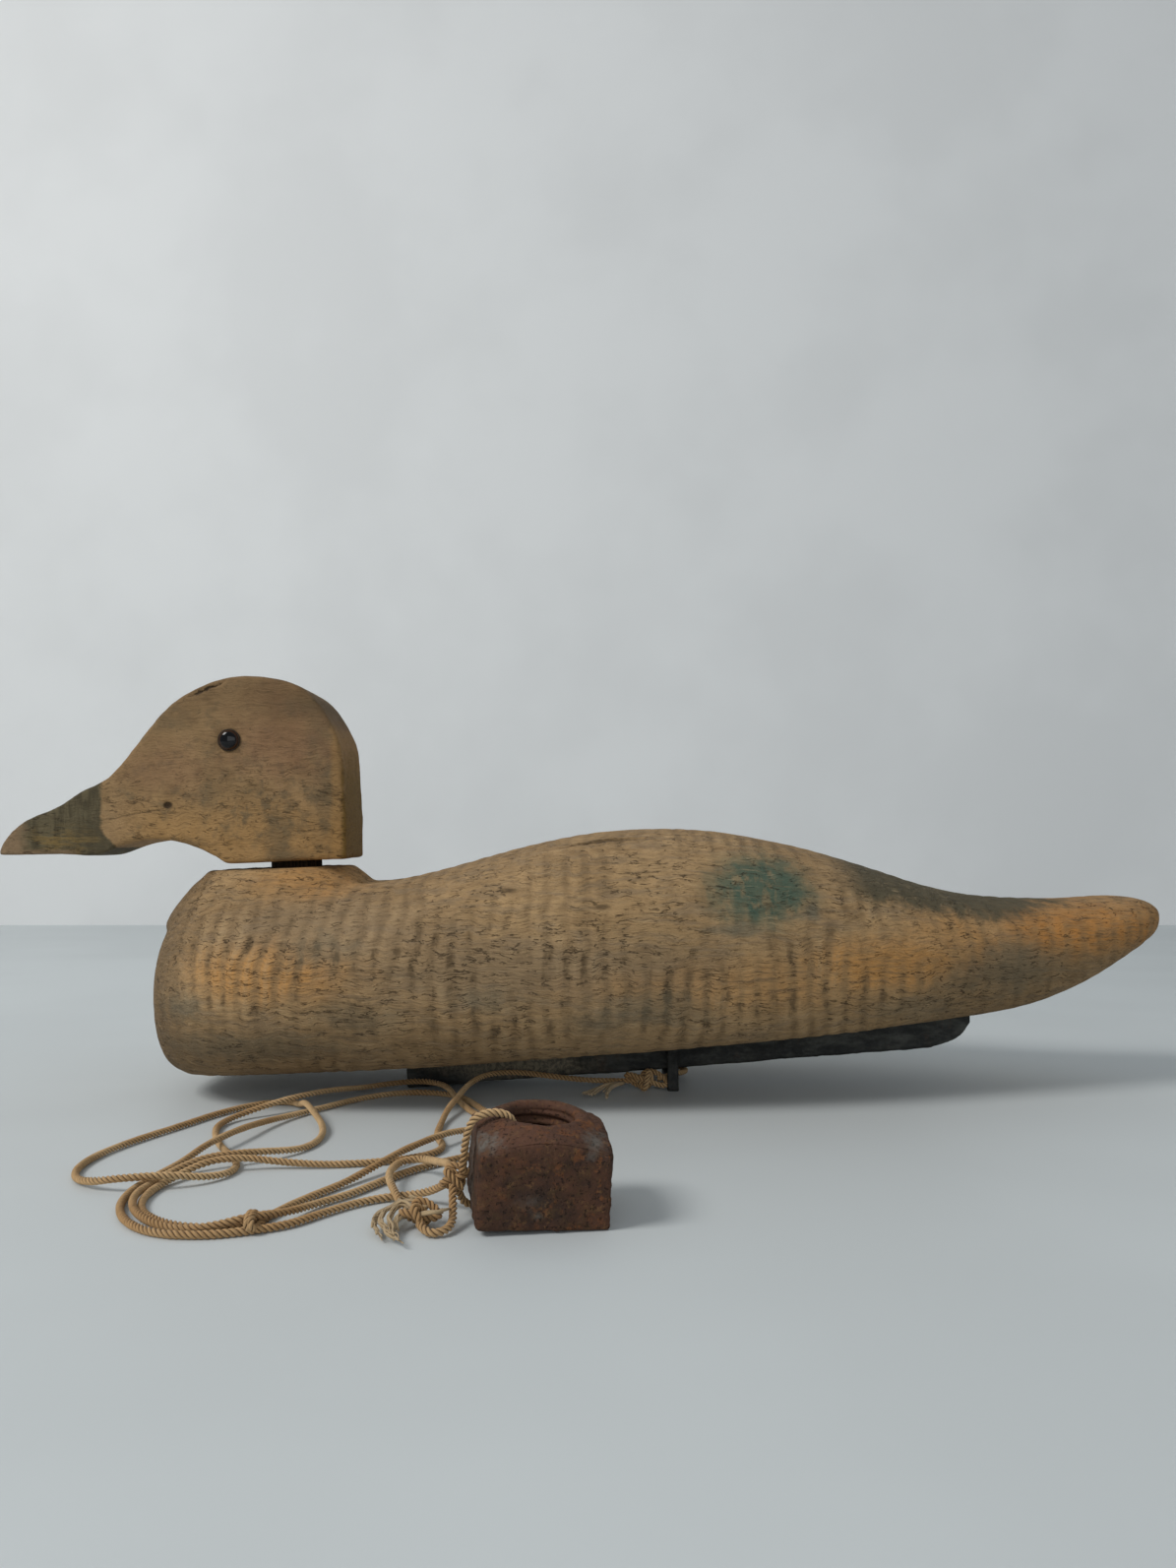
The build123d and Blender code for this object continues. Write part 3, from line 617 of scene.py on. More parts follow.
def turned(points, x, y, z):
    """Points turned about Z, then Y, then X, by degrees."""
    for axis, degrees in ((2, z), (1, y), (0, x)):
        c, s = math.cos(math.radians(degrees)), math.sin(math.radians(degrees))
        a, b = [(1, 2), (2, 0), (0, 1)][axis]
        first = points[:, a] * c - points[:, b] * s
        second = points[:, a] * s + points[:, b] * c
        points = points.copy()
        points[:, a], points[:, b] = first, second
    return points


def anchor_nut():
    """A rusted square nut with a real thread in its hole."""
    side, height, bore, mouth, flat, bevel = 31.75, 23.4, 8.25, 9.6, 11.0, math.tan(math.radians(27))
    pitch, thread, around, corner_power = 2.54, 1.05, 480, 26
    top_round, foot_round = 0.7, 0.8
    yaw, lean_right, lean_front, place = 9.0, 3.2, 4.6, np.array([-9.3, -163.8, 0.0])
    angles = circle(around)
    squareness = np.abs(np.cos(angles)) ** corner_power + np.abs(np.sin(angles)) ** corner_power
    outer = side / 2 / squareness ** (1 / corner_power)
    rings = []

    def ring(radius, level):
        radius = np.broadcast_to(radius, around)
        level = np.broadcast_to(level, around)
        rings.append(np.stack([radius * np.cos(angles), radius * np.sin(angles), level], 1))

    sink = mouth - bore
    slope = np.maximum(outer - flat, 0) * bevel
    top_edge = height - slope
    for level in np.linspace(sink, height - sink, 96):
        turn = (level / pitch - angles / (2 * math.pi)) % 1
        depth = thread * np.clip(1 - np.abs(turn - 0.5) * 2.6, 0, 1)
        fade = min(1.0, (level - sink) / 1.2 + 0.15, (height - sink - level) / 1.2 + 0.15)
        ring(bore + depth * fade, level)
    for share in np.linspace(0, 1, 5)[1:]:
        ring(bore + sink * share, height - sink + sink * math.sin(share * math.pi / 2))
    for share in np.linspace(0, 1, 4)[1:]:
        ring(mouth + (flat - mouth) * share, height)
    for share in np.linspace(0, 1, 24)[1:-1]:
        ring(flat + (outer - flat) * share, height - slope * share)
    for turn in np.linspace(0, math.pi / 2, 5):
        radius = outer - top_round * (1 - math.sin(turn)) * 0.6
        ring(radius, top_edge - top_round * (1 - math.cos(turn)))
    for share in np.linspace(0, 1, 44)[1:-1]:
        ring(outer, (top_edge - top_round) * (1 - share) + foot_round * share)
    for turn in np.linspace(0, math.pi / 2, 5):
        ring(outer - foot_round * (1 - math.cos(turn)), foot_round * (1 - math.sin(turn)))
    for share in np.linspace(0, 1, 12)[1:]:
        ring((outer - foot_round) * (1 - share) + mouth * share, 0.0)
    for share in np.linspace(0, 1, 4)[1:-1]:
        ring(mouth - sink * share, sink * share)
    points = turned(np.concatenate(rings), lean_front, lean_right, yaw) + place
    piece = add_mesh("anchor_nut_rusted", points, grid_faces(len(rings), around, closed=True))
    normals = normals_of(piece)
    # smoother in the hole than outside
    off_hole = np.linalg.norm(points[:, :2] + np.array([9.0, 164.2]), axis=1)
    outside = smooth_step(off_hole, 9.4, 10.6)
    height = layers(points, 91, (0.24, 7.5), (0.16, 2.9), (0.09, 1.3))
    pits = smooth_step(value_noise(points, 2.1, 94), 0.35, 0.75)
    height = (height - 0.22 * pits) * (0.25 + 0.75 * outside)
    points = points + normals * height[:, None]
    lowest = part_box("anchor_nut")[0][2] / MM
    points[:, 2] += lowest - points[:, 2].min() + 0.02
    move_points(piece, points)
    return finished(piece, "decoy", "anchor_nut")


def glass_eye(side, sign):
    """A domed glass eye with a rolled rim, let into the side of the head."""
    back, rim, dome = -1.15, 0.1, 1.7
    profile = [(0, back), (2.0, back), (EYE_RADIUS, back), (EYE_RADIUS, -0.95), (EYE_RADIUS, rim)]
    for step in range(1, 17):
        turn = step / 16 * math.pi / 2
        profile.append((EYE_RADIUS * math.cos(turn) ** 0.9, rim + dome * math.sin(turn)))
    profile[-1] = (0, 1.8)
    centre = (EYE_X, sign * HEAD_SIDE, EYE_Z)
    piece = lathe("eye_glass_dome_" + side, profile, centre, (0, sign, 0))
    return finished(piece, "head", "eye_glass_" + side)


def eye_ring(side, sign):
    """The thin dark line of putty round an eye."""
    around, across = 72, 10
    points = []
    for t in circle(around):
        outward = np.array([math.cos(t), 0, math.sin(t)])
        path = np.array([EYE_X, sign * 21.4, EYE_Z]) + EYE_RING_RADIUS * outward
        lumps = 1 + 0.15 * math.sin(5 * t) * math.sin(3 * t)
        for j in range(across):
            turn = 2 * math.pi * j / across
            step = outward * math.cos(turn) + np.array([0, math.sin(turn), 0])
            points.append(path + step * EYE_RING_THICKNESS * lumps)
    piece = add_mesh("eye_ring_" + side, points, grid_faces(around, across, closed=True))
    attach(piece, "head")
    return piece


body = carve_body()
head = carve_head()
keel = rough_iron("keel", "keel_iron_bar", 0.9, 3, 0.55, 101)
band = rough_iron("line_loop", "line_loop_band", 0.42, 2, 0.16, 103)
dowel = neck_dowel()
nut = anchor_nut()
eyes = [glass_eye("left", -1), glass_eye("right", 1)]
rings = [eye_ring("left", -1), eye_ring("right", 1)]

# What each free cord ends in or carries.
ON_CORD = {
    "anchor_line": [
        knots["hitch_knot"], hitch_fray, knots["hank_knot"], knots["nut_knot"], cords["short_tail"],
        knots["tail_knot"], stopper_fray,
    ],
    "line_hitch": [], "nut_lashing": [nut], "tail_loop": [tassel],
}
for name, on_it in ON_CORD.items():
    path = (lines[name] * MM).tolist()


# ---------------------------------------------------------------- materials

BODY_LIGHT, BODY_MID, BODY_DARK = (0.490, 0.318, 0.156), (0.400, 0.256, 0.122), (0.235, 0.148, 0.071)
BODY_ORANGE, BODY_GREY, BODY_STAIN_AND_SHADE = (0.600, 0.295, 0.088), (0.275, 0.198, 0.120), (0.100, 0.064, 0.032)
TAIL_ORANGE, BODY_PALE, CHECK_DARK = (0.520, 0.220, 0.048), (0.560, 0.400, 0.225), (0.026, 0.016, 0.009)
PAINT_GREEN, PAINT_GREY = (0.064, 0.122, 0.090), (0.092, 0.083, 0.052)
PAINT_BLUE_GREY = (0.180, 0.165, 0.115)
HEAD_LIGHT, HEAD_MID, HEAD_DARK = (0.360, 0.228, 0.110), (0.280, 0.176, 0.082), (0.175, 0.107, 0.051)
HEAD_ORANGE, HEAD_GREY, HEAD_RED = (0.465, 0.258, 0.086), (0.135, 0.103, 0.060), (0.250, 0.130, 0.070)
HEAD_STAIN, NAPE_OLIVE_AND_SHADE = (0.066, 0.043, 0.023), (0.205, 0.125, 0.032)
BILL_GREY, BILL_DARK = (0.122, 0.102, 0.058), (0.064, 0.055, 0.032)
BILL_OCHRE, BILL_WORN = (0.225, 0.148, 0.050), (0.255, 0.168, 0.095)
RUST_DARK, RUST_MID, RUST_BROWN = (0.042, 0.023, 0.016), (0.092, 0.040, 0.022), (0.088, 0.052, 0.026)
RUST_TOP, RUST_ORANGE, RUST_OCHRE = (0.142, 0.068, 0.044), (0.215, 0.078, 0.026), (0.225, 0.122, 0.048)
RUST_SCUFF, KEEL_SCUFF_AND_SHEEN = (0.165, 0.160, 0.140), (0.260, 0.220, 0.150)
CORD_LIGHT, CORD_BROWN = (0.690, 0.470, 0.245), (0.500, 0.300, 0.135)
CORD_HAIRS_AND_GROOVE_SHADE = (0.070, 0.037, 0.015)
FRAY_LIGHT, FRAY_BROWN, FRAY_HAIRS_AND_GROOVE_SHADE = (0.68, 0.53, 0.34), (0.52, 0.385, 0.225), (0.28, 0.19, 0.10)


class Surface:
    """A procedural material, built in millimetres of the object's own frame."""

    def __init__(self, name, roughness=0.7, specular=0.3):
        self.material = bpy.data.materials.new(name)
        self.material.use_nodes = True
        self.tree = self.material.node_tree
        self.shader = self.tree.nodes["Principled BSDF"]
        self.shader.inputs["Roughness"].default_value = roughness
        self.shader.inputs["Specular IOR Level"].default_value = specular
        coordinates = self.tree.nodes.new("ShaderNodeTexCoord")
        scaled = self.tree.nodes.new("ShaderNodeVectorMath")
        scaled.operation = "SCALE"
        scaled.inputs["Scale"].default_value = 1000.0
        self.tree.links.new(coordinates.outputs["Object"], scaled.inputs[0])
        self.place = scaled.outputs[0]
        split = self.tree.nodes.new("ShaderNodeSeparateXYZ")
        self.tree.links.new(self.place, split.inputs[0])
        self.x, self.y, self.z = split.outputs

    def feed(self, socket, value):
        if isinstance(value, bpy.types.NodeSocket):
            self.tree.links.new(value, socket)
        elif isinstance(value, tuple) and len(value) == 3 and socket.type == "RGBA":
            socket.default_value = (*value, 1.0)
        else:
            socket.default_value = value

    def math(self, operation, first, *others):
        """One operation over two values or more, from left to right."""
        for value in others:
            node = self.tree.nodes.new("ShaderNodeMath")
            node.operation = operation
            self.feed(node.inputs[0], first)
            self.feed(node.inputs[1], value)
            first = node.outputs[0]
        return first

    def add(self, *values):
        return self.math("ADD", *values)

    def times(self, *values):
        return self.math("MULTIPLY", *values)

    def magnitude(self, value):
        return self.math("ABSOLUTE", value, 0.0)

    def vector(self, x, y, z):
        node = self.tree.nodes.new("ShaderNodeCombineXYZ")
        for socket, value in zip(node.inputs, (x, y, z)):
            self.feed(socket, value)
        return node.outputs[0]

    def attribute(self, name):
        node = self.tree.nodes.new("ShaderNodeAttribute")
        node.attribute_name = name
        return node

    def noise(self, wavelength, detail, roughness, seed, distortion=0.0, vector=None):
        """Noise from 0 to 1; wavelength is in millimetres, one number or one an axis."""
        if not isinstance(wavelength, tuple):
            wavelength = (wavelength,) * 3
        scaled = self.tree.nodes.new("ShaderNodeVectorMath")
        scaled.operation = "MULTIPLY"
        self.feed(scaled.inputs[0], vector or self.place)
        scaled.inputs[1].default_value = [1 / w for w in wavelength]
        moved = self.tree.nodes.new("ShaderNodeVectorMath")
        moved.operation = "ADD"
        self.feed(moved.inputs[0], scaled.outputs[0])
        moved.inputs[1].default_value = (seed * 3.7, seed * 1.9, seed * 5.3)
        node = self.tree.nodes.new("ShaderNodeTexNoise")
        self.feed(node.inputs["Vector"], moved.outputs[0])
        node.inputs["Scale"].default_value = 1.0
        node.inputs["Detail"].default_value = detail
        node.inputs["Roughness"].default_value = roughness
        node.inputs["Distortion"].default_value = distortion
        return node.outputs[0]

    def step(self, value, low, high, to_low=0.0, to_high=1.0):
        node = self.tree.nodes.new("ShaderNodeMapRange")
        node.interpolation_type = "SMOOTHSTEP"
        for socket, number in zip(node.inputs, (value, low, high, to_low, to_high)):
            self.feed(socket, number)
        return node.outputs[0]

    def mix(self, share, first, second):
        node = self.tree.nodes.new("ShaderNodeMix")
        node.data_type = "RGBA"
        self.feed(node.inputs[0], share)
        self.feed(node.inputs[6], first)
        self.feed(node.inputs[7], second)
        return node.outputs[2]

    def lay(self, share, colour):
        """Cover a share of the colour so far with another."""
        self.colour = self.mix(share, self.colour, colour)

    def spot(self, centre, sizes, soft, ragged, seed, grain=9.0):
        """1 inside a rounded patch with a ragged edge; a size of 0 means all the way along."""
        total = None
        for axis, middle, size in zip((self.x, self.y, self.z), centre, sizes):
            if size:
                part = self.math("DIVIDE", self.math("SUBTRACT", axis, middle), size)
                part = self.times(part, part)
                total = part if total is None else self.add(total, part)
        edge = self.math("SUBTRACT", self.noise(grain, 4, 0.6, seed), 0.5)
        away = self.add(self.math("SQRT", total, 0.0), self.times(edge, ragged * 3))
        return self.step(away, 1.0 - soft, 1.0 + soft, 1.0, 0.0)

    def side_spot(self, x, z, long, high, *rest):
        """A patch seen from the side, on both sides of the piece."""
        return self.spot((x, 0, z), (long, 0, high), *rest)

    def patches(self, rows, colour, soft, ragged, grain, seeded_by=0):
        """Lay one colour over patches: rows of x, z, half length, half height and share."""
        for row in rows:
            patch = self.side_spot(*row[:4], soft, ragged, row[seeded_by], grain)
            self.lay(self.times(patch, row[4]), colour)

    def finish(self, height, distance, strength, roughness=None):
        self.feed(self.shader.inputs["Base Color"], self.colour)
        if roughness is not None:
            self.feed(self.shader.inputs["Roughness"], roughness)
        bump = self.tree.nodes.new("ShaderNodeBump")
        bump.inputs["Strength"].default_value = strength
        bump.inputs["Distance"].default_value = distance * MM
        self.feed(bump.inputs["Height"], height)
        self.tree.links.new(bump.outputs[0], self.shader.inputs["Normal"])
        return self.material


def old_wood(name, light, mid, dark, seed):
    """Weathered wood: a surface with its colour so far and the parts of its grain."""
    s = Surface(name, 0.86, 0.18)
    s.broad = s.noise(26.0, 3, 0.55, seed)
    mottled = s.noise((8.0, 8.0, 7.0), 6, 0.66, seed + 1)
    s.colour = s.mix(s.step(s.broad, 0.36, 0.64), mid, light)
    s.lay(s.step(mottled, 0.46, 0.74, 0.0, 0.75), dark)
    s.ridge = s.attribute("ridge").outputs["Fac"]
    # the grain along the piece rides up and down over the ridges
    height = s.add(s.z, s.times(s.ridge, 0.7), s.times(s.noise(14.0, 2, 0.5, seed + 2), 5.0))
    run = s.vector(s.x, s.y, height)
    s.streaks = s.noise((11.0, 3.0, 0.9), 5, 0.68, seed + 4, 0.2, run)
    s.grey = s.noise((16.0, 9.0, 2.2), 4, 0.62, seed + 3, 0.3, run)
    # short thin open checks: a contour of one noise, broken up by another
    waves = s.noise((8.5, 4.0, 1.5), 3, 0.55, seed + 5, 0.3, run)
    lines = s.magnitude(s.math("SUBTRACT", waves, 0.5))
    broken = s.step(s.noise((4.6, 3.0, 1.9), 2, 0.5, seed + 8), 0.46, 0.56)
    where = s.step(s.noise(24.0, 3, 0.55, seed + 6), 0.36, 0.56, 0.25, 1.0)
    s.checks = s.times(s.step(lines, 0.022, 0.006), broken, where)
    s.fine = s.noise((2.4, 0.8, 0.5), 4, 0.72, seed + 7, 0.0, run)
    return s


def body_wood():
    s = old_wood("carved_body_wood", BODY_LIGHT, BODY_MID, BODY_DARK, 11.0)
    s.lay(s.step(s.grey, 0.46, 0.66, 0.0, 0.6), BODY_GREY)
    # orange where the old primer shows
    orange = s.times(s.side_spot(-100, 49, 27, 9, 0.6, 0.4, 21, 12), 1.2)
    for x, z, long, high, share in (
        (106, 50, 28, 8, 1.3), (180, 60, 36, 9, 1.1), (-96, 77, 17, 6, 1.0),
        (128, 57, 22, 9, 0.7), (60, 44, 44, 8, 0.6), (20, 44, 26, 5, 0.45),
    ):
        patch = s.side_spot(x, z, long, high, 0.65, 0.45, x * 0.1, 10)
        orange = s.math("MAXIMUM", orange, s.times(patch, share))
    on_ridge = s.step(s.ridge, 0.1, 0.8, 0.55, 1.0)
    orange = s.times(orange, on_ridge, s.step(s.streaks, 0.66, 0.4, 0.5, 1.0))
    primer = s.mix(s.step(s.x, 126.0, 160.0), BODY_ORANGE, TAIL_ORANGE)
    s.lay(s.times(orange, 0.8), primer)
    # dull grey film on the breast, the shoulder and the middle; on the breast it is also painted shade
    film_and_shade = s.side_spot(-84, 62, 44, 10, 0.6, 0.4, 31)
    film_and_shade = s.math("MAXIMUM", film_and_shade, s.side_spot(-20, 50, 62, 10, 0.6, 0.5, 33))
    film_and_shade = s.math("MAXIMUM", film_and_shade, s.times(s.side_spot(-150, 52, 16, 24, 0.6, 0.4, 32), 0.8))
    s.lay(s.times(film_and_shade, 0.55), BODY_GREY)
    # dark patches in rows, on the ridges
    low_row = s.side_spot(0, 38, 165, 9, 0.6, 0.5, 35)
    row = s.math("MAXIMUM", low_row, s.side_spot(-25, 54, 120, 9, 0.6, 0.6, 37))
    clumps = s.step(s.noise((5.5, 12.0, 8.0), 4, 0.6, 39), 0.50, 0.64)
    dark = s.times(s.step(s.ridge, 0.75, 0.15), clumps, s.add(s.times(row, 0.62), 0.16))
    s.lay(dark, BODY_STAIN_AND_SHADE)
    banded = s.step(s.ridge, 0.05, 0.65, 0.30, 0.0)
    s.lay(banded, BODY_STAIN_AND_SHADE)
    pale = s.times(s.step(s.ridge, 0.62, 1.0), s.step(s.broad, 0.42, 0.6), 0.30)
    s.lay(pale, BODY_PALE)
    # green paint on the wing, grey paint on the tail, blue-grey remains low on the flank
    green = s.side_spot(62, 75, 17, 11.5, 0.45, 0.32, 41, 7)
    broken = s.step(s.ridge, 0.95, 0.4, 0.42, 1.0)
    worn = s.step(s.noise((4.0, 9.0, 9.0), 4, 0.62, 43), 0.34, 0.50, 0.5, 0.94)
    s.lay(s.times(green, broken, worn), PAINT_GREEN)
    tail_top = s.add(s.z, -64.0, s.times(s.magnitude(s.math("SUBTRACT", s.x, 146)), -0.17))
    tail_top = s.step(s.add(tail_top, s.times(s.noise((6.0, 12.0, 9.0), 5, 0.65, 45), 13.0)), 3.0, 9.0)
    tail_top = s.times(tail_top, s.step(s.x, 84.0, 104.0), s.step(s.x, 176.0, 194.0, 1.0, 0.0))
    s.lay(s.times(tail_top, 0.92), PAINT_GREY)
    s.patches((
        (152, 47, 14, 9, 0.55), (130, 44, 10, 5, 0.35), (24, 37, 17, 5, 0.45),
        (-132, 36, 8, 4, 0.6), (-112, 23, 30, 5, 0.5), (-70, 34, 14, 5, 0.35),
        (79, 68.5, 2.4, 2.8, 0.8), (52, 62.5, 9, 1.8, 0.6), (-85, 56, 10, 5, 0.35),
        (-30, 40, 9, 4, 0.4), (5, 32, 12, 3, 0.3), (118, 34, 14, 4, 0.35),
    ), PAINT_BLUE_GREY, 0.7, 0.7, 6)
    # painted shade, darker towards the bottom where the side turns under; then the wood's own marks
    s.lay(s.step(s.z, 42.0, 16.0, 0.0, 0.52), BODY_STAIN_AND_SHADE)
    # painted shade: the front of the breast made darker, against the window lamp's light on it
    s.lay(s.times(s.step(s.x, -124.0, -146.0), 0.46), BODY_STAIN_AND_SHADE)
    # painted shade low at the rear, under the tail
    rear_low_shade = s.times(s.step(s.x, 96.0, 138.0), s.step(s.z, 60.0, 46.0))
    s.lay(s.times(rear_low_shade, 0.36), BODY_STAIN_AND_SHADE)
    s.lay(s.step(s.streaks, 0.50, 0.72, 0.0, 0.42), BODY_STAIN_AND_SHADE)
    paler = s.times(s.step(s.streaks, 0.46, 0.28, 0.0, 0.34), s.step(s.x, 160.0, 120.0, 0.3, 1.0))
    s.lay(paler, BODY_PALE)
    s.lay(s.step(s.fine, 0.51, 0.73, 0.0, 0.46), BODY_STAIN_AND_SHADE)
    s.patches(((-23.5, 75, 3.0, 0.9, 0.55), (7.7, 70, 2.8, 0.8, 0.6)), CHECK_DARK, 0.5, 0.5, 3)
    back_check = s.spot((11, -30, 90), (11, 2.4, 4.0), 0.5, 0.5, 11, 3)
    s.lay(s.times(back_check, 0.7), CHECK_DARK)
    s.lay(s.times(s.checks, 0.66), CHECK_DARK)
    height = s.add(
        s.times(s.streaks, 1.0), s.times(s.checks, -0.5), s.times(s.fine, 0.45),
    )
    return s.finish(height, 0.9, 1.0, s.step(s.fine, 0.3, 0.7, 0.76, 0.92))


def head_wood():
    s = old_wood("carved_head_wood", HEAD_LIGHT, HEAD_MID, HEAD_DARK, 51.0)
    low = s.times(s.step(s.z, 114.0, 92.0), s.step(s.x, -176.0, -150.0))
    s.lay(s.times(low, 0.5), HEAD_ORANGE)
    smudge = s.noise((7.0, 8.0, 6.0), 5, 0.66, 52)
    s.lay(s.step(smudge, 0.50, 0.68, 0.0, 0.55), HEAD_GREY)
    cheek = s.side_spot(-112, 108, 24, 15, 0.7, 0.6, 53, 8)
    blotch = s.step(s.noise((4.5, 8.0, 6.0), 5, 0.66, 55), 0.50, 0.62)
    s.lay(s.times(cheek, blotch, 0.6), HEAD_GREY)
    s.patches((
        (-101, 141, 9, 3.6, 0.7), (-94, 133, 4, 9.0, 0.5), (-149, 135, 7, 3.0, 0.4),
        (-108, 94, 5, 8.0, 0.55), (-92, 108, 5, 14.0, 0.4), (-134, 108, 3, 4.0, 0.4),
        (-106, 86, 7, 2.6, 0.6),
    ), HEAD_GREY, 0.7, 0.7, 5, seeded_by=1)
    s.patches((
        (-108, 128, 17, 13, 0.55), (-150, 118, 18, 9, 0.35), (-110, 145, 9, 5, 0.4),
    ), HEAD_RED, 0.7, 0.6, 8)
    s.lay(s.step(s.z, 126.0, 148.0, 0.0, 0.60), HEAD_DARK)
    # the flat nape, dark with old olive paint and with painted shade, as it faces away from the light,
    # behind a pale worn edge
    edge = s.add(s.x, s.times(s.noise(6.0, 4, 0.6, 59), 3.0))
    rim = s.times(s.step(edge, -89.5, -87.2), s.step(s.z, 142.0, 128.0))
    s.lay(s.times(rim, 0.4), HEAD_ORANGE)
    nape = s.step(edge, -85.6, -83.8)
    s.lay(s.times(nape, s.step(s.z, 150.0, 138.0), 0.85), NAPE_OLIVE_AND_SHADE)
    # painted bill, worn at its tip and along its side
    edge = s.add(s.x, s.times(s.noise(3.0, 3, 0.6, 61), 3.0), s.times(s.step(s.z, 96.0, 88.0), -6.0))
    bill = s.step(edge, -173.4, -175.0)
    vertical = s.noise((2.6, 6.0, 14.0), 4, 0.65, 63)
    bill_colour = s.mix(s.step(vertical, 0.40, 0.62), BILL_GREY, BILL_DARK)
    dark_foot = s.side_spot(-178, 93, 8, 6, 0.6, 0.6, 64, 4)
    bill_colour = s.mix(s.times(dark_foot, 0.8), bill_colour, BILL_DARK)
    worn = s.side_spot(-191, 91.5, 12, 4.2, 0.7, 0.6, 65, 5)
    worn = s.times(worn, s.step(s.noise((9.0, 6.0, 1.7), 5, 0.65, 66), 0.40, 0.58), 0.8)
    bill_colour = s.mix(worn, bill_colour, BILL_OCHRE)
    tip = s.step(s.add(s.x, s.times(s.noise(5.0, 4, 0.6, 67), 8.0)), -198.0, -205.0)
    tip = s.math("MAXIMUM", tip, s.times(s.step(s.z, 88.8, 87.2), s.step(s.x, -182.0, -190.0)))
    bill_colour = s.mix(s.times(tip, 0.85), bill_colour, BILL_WORN)
    s.lay(s.times(bill, 0.94), bill_colour)
    s.lay(s.step(s.streaks, 0.50, 0.72, 0.0, 0.34), HEAD_STAIN)
    s.lay(s.step(s.fine, 0.50, 0.74, 0.0, 0.42), HEAD_STAIN)
    pores = s.step(s.noise((1.6, 1.6, 2.6), 3, 0.6, 69), 0.64, 0.72)
    s.lay(s.times(pores, 0.4), HEAD_STAIN)
    hole = s.side_spot(-149.3, 104.4, 1.7, 1.2, 0.4, 0.3, 71, 3)
    crown = s.side_spot(-135.5, 146.2, 7.5, 2.4, 0.4, 0.4, 73, 3)
    crest = s.add(s.z, s.times(s.x, -0.42), s.times(s.noise(3.0, 4, 0.6, 74), 3.4), -204.7)
    crown = s.times(crown, s.step(s.magnitude(crest), 0.75, 0.15))
    seam = s.add(s.z, s.times(s.x, -0.16), s.times(s.noise(12.0, 3, 0.6, 75), 3.0), -128.6)
    seam = s.times(
        s.step(s.magnitude(seam), 0.5, 0.12),
        s.step(s.x, -178.0, -172.0), s.step(s.x, -146.0, -154.0),
    )
    marks = s.math("MAXIMUM", hole, s.math("MAXIMUM", crown, s.times(seam, 0.35)))
    s.lay(s.times(marks, 0.88), CHECK_DARK)
    checks = s.times(s.checks, s.step(s.z, 132.0, 100.0, 0.2, 0.8))
    s.lay(s.times(checks, 0.7), CHECK_DARK)
    height = s.add(
        s.times(s.streaks, 0.6), s.times(checks, -0.4), s.times(s.fine, 0.4), s.times(marks, -0.7),
    )
    return s.finish(height, 0.7, 1.0, s.step(s.fine, 0.3, 0.7, 0.70, 0.88))


def dowel_wood():
    s = Surface("dowel_wood", 0.85, 0.2)
    streaks = s.noise((0.9, 0.9, 14.0), 4, 0.65, 81)
    s.colour = s.mix(s.step(streaks, 0.35, 0.7), (0.018, 0.011, 0.006), (0.075, 0.043, 0.022))
    return s.finish(streaks, 0.4, 0.9)


def black_iron(name, seed, light=0.035, scuffed_with_sheen=False):
    """Iron under old black paint and dry scale."""
    s = Surface(name, 0.68, 0.35)
    patches = s.noise((16.0, 7.0, 6.0), 5, 0.62, seed)
    grit = s.noise(1.3, 4, 0.7, seed + 1)
    paint_grey = (light, light * 1.02, light * 0.88)
    s.colour = s.mix(s.step(patches, 0.40, 0.66), (0.010, 0.011, 0.010), paint_grey)
    rust = s.times(s.step(s.noise(7.0, 4, 0.65, seed + 2), 0.56, 0.70), 0.5)
    s.lay(rust, (0.055, 0.032, 0.018))
    s.lay(s.step(grit, 0.55, 0.8, 0.0, 0.5), (0.06, 0.062, 0.055))
    if scuffed_with_sheen:
        # a pale grey patch on the keel's side: partly worn paint, partly a painted sheen
        scuff = s.side_spot(-24, 9, 26, 4.5, 0.6, 0.6, seed + 3, 7)
        s.lay(s.times(scuff, s.step(grit, 0.60, 0.40, 0.4, 1.0), 0.95), KEEL_SCUFF_AND_SHEEN)
    height = s.add(s.times(patches, 0.8), s.times(grit, 0.5))
    return s.finish(height, 0.5, 0.8, s.step(grit, 0.3, 0.75, 0.5, 0.85))


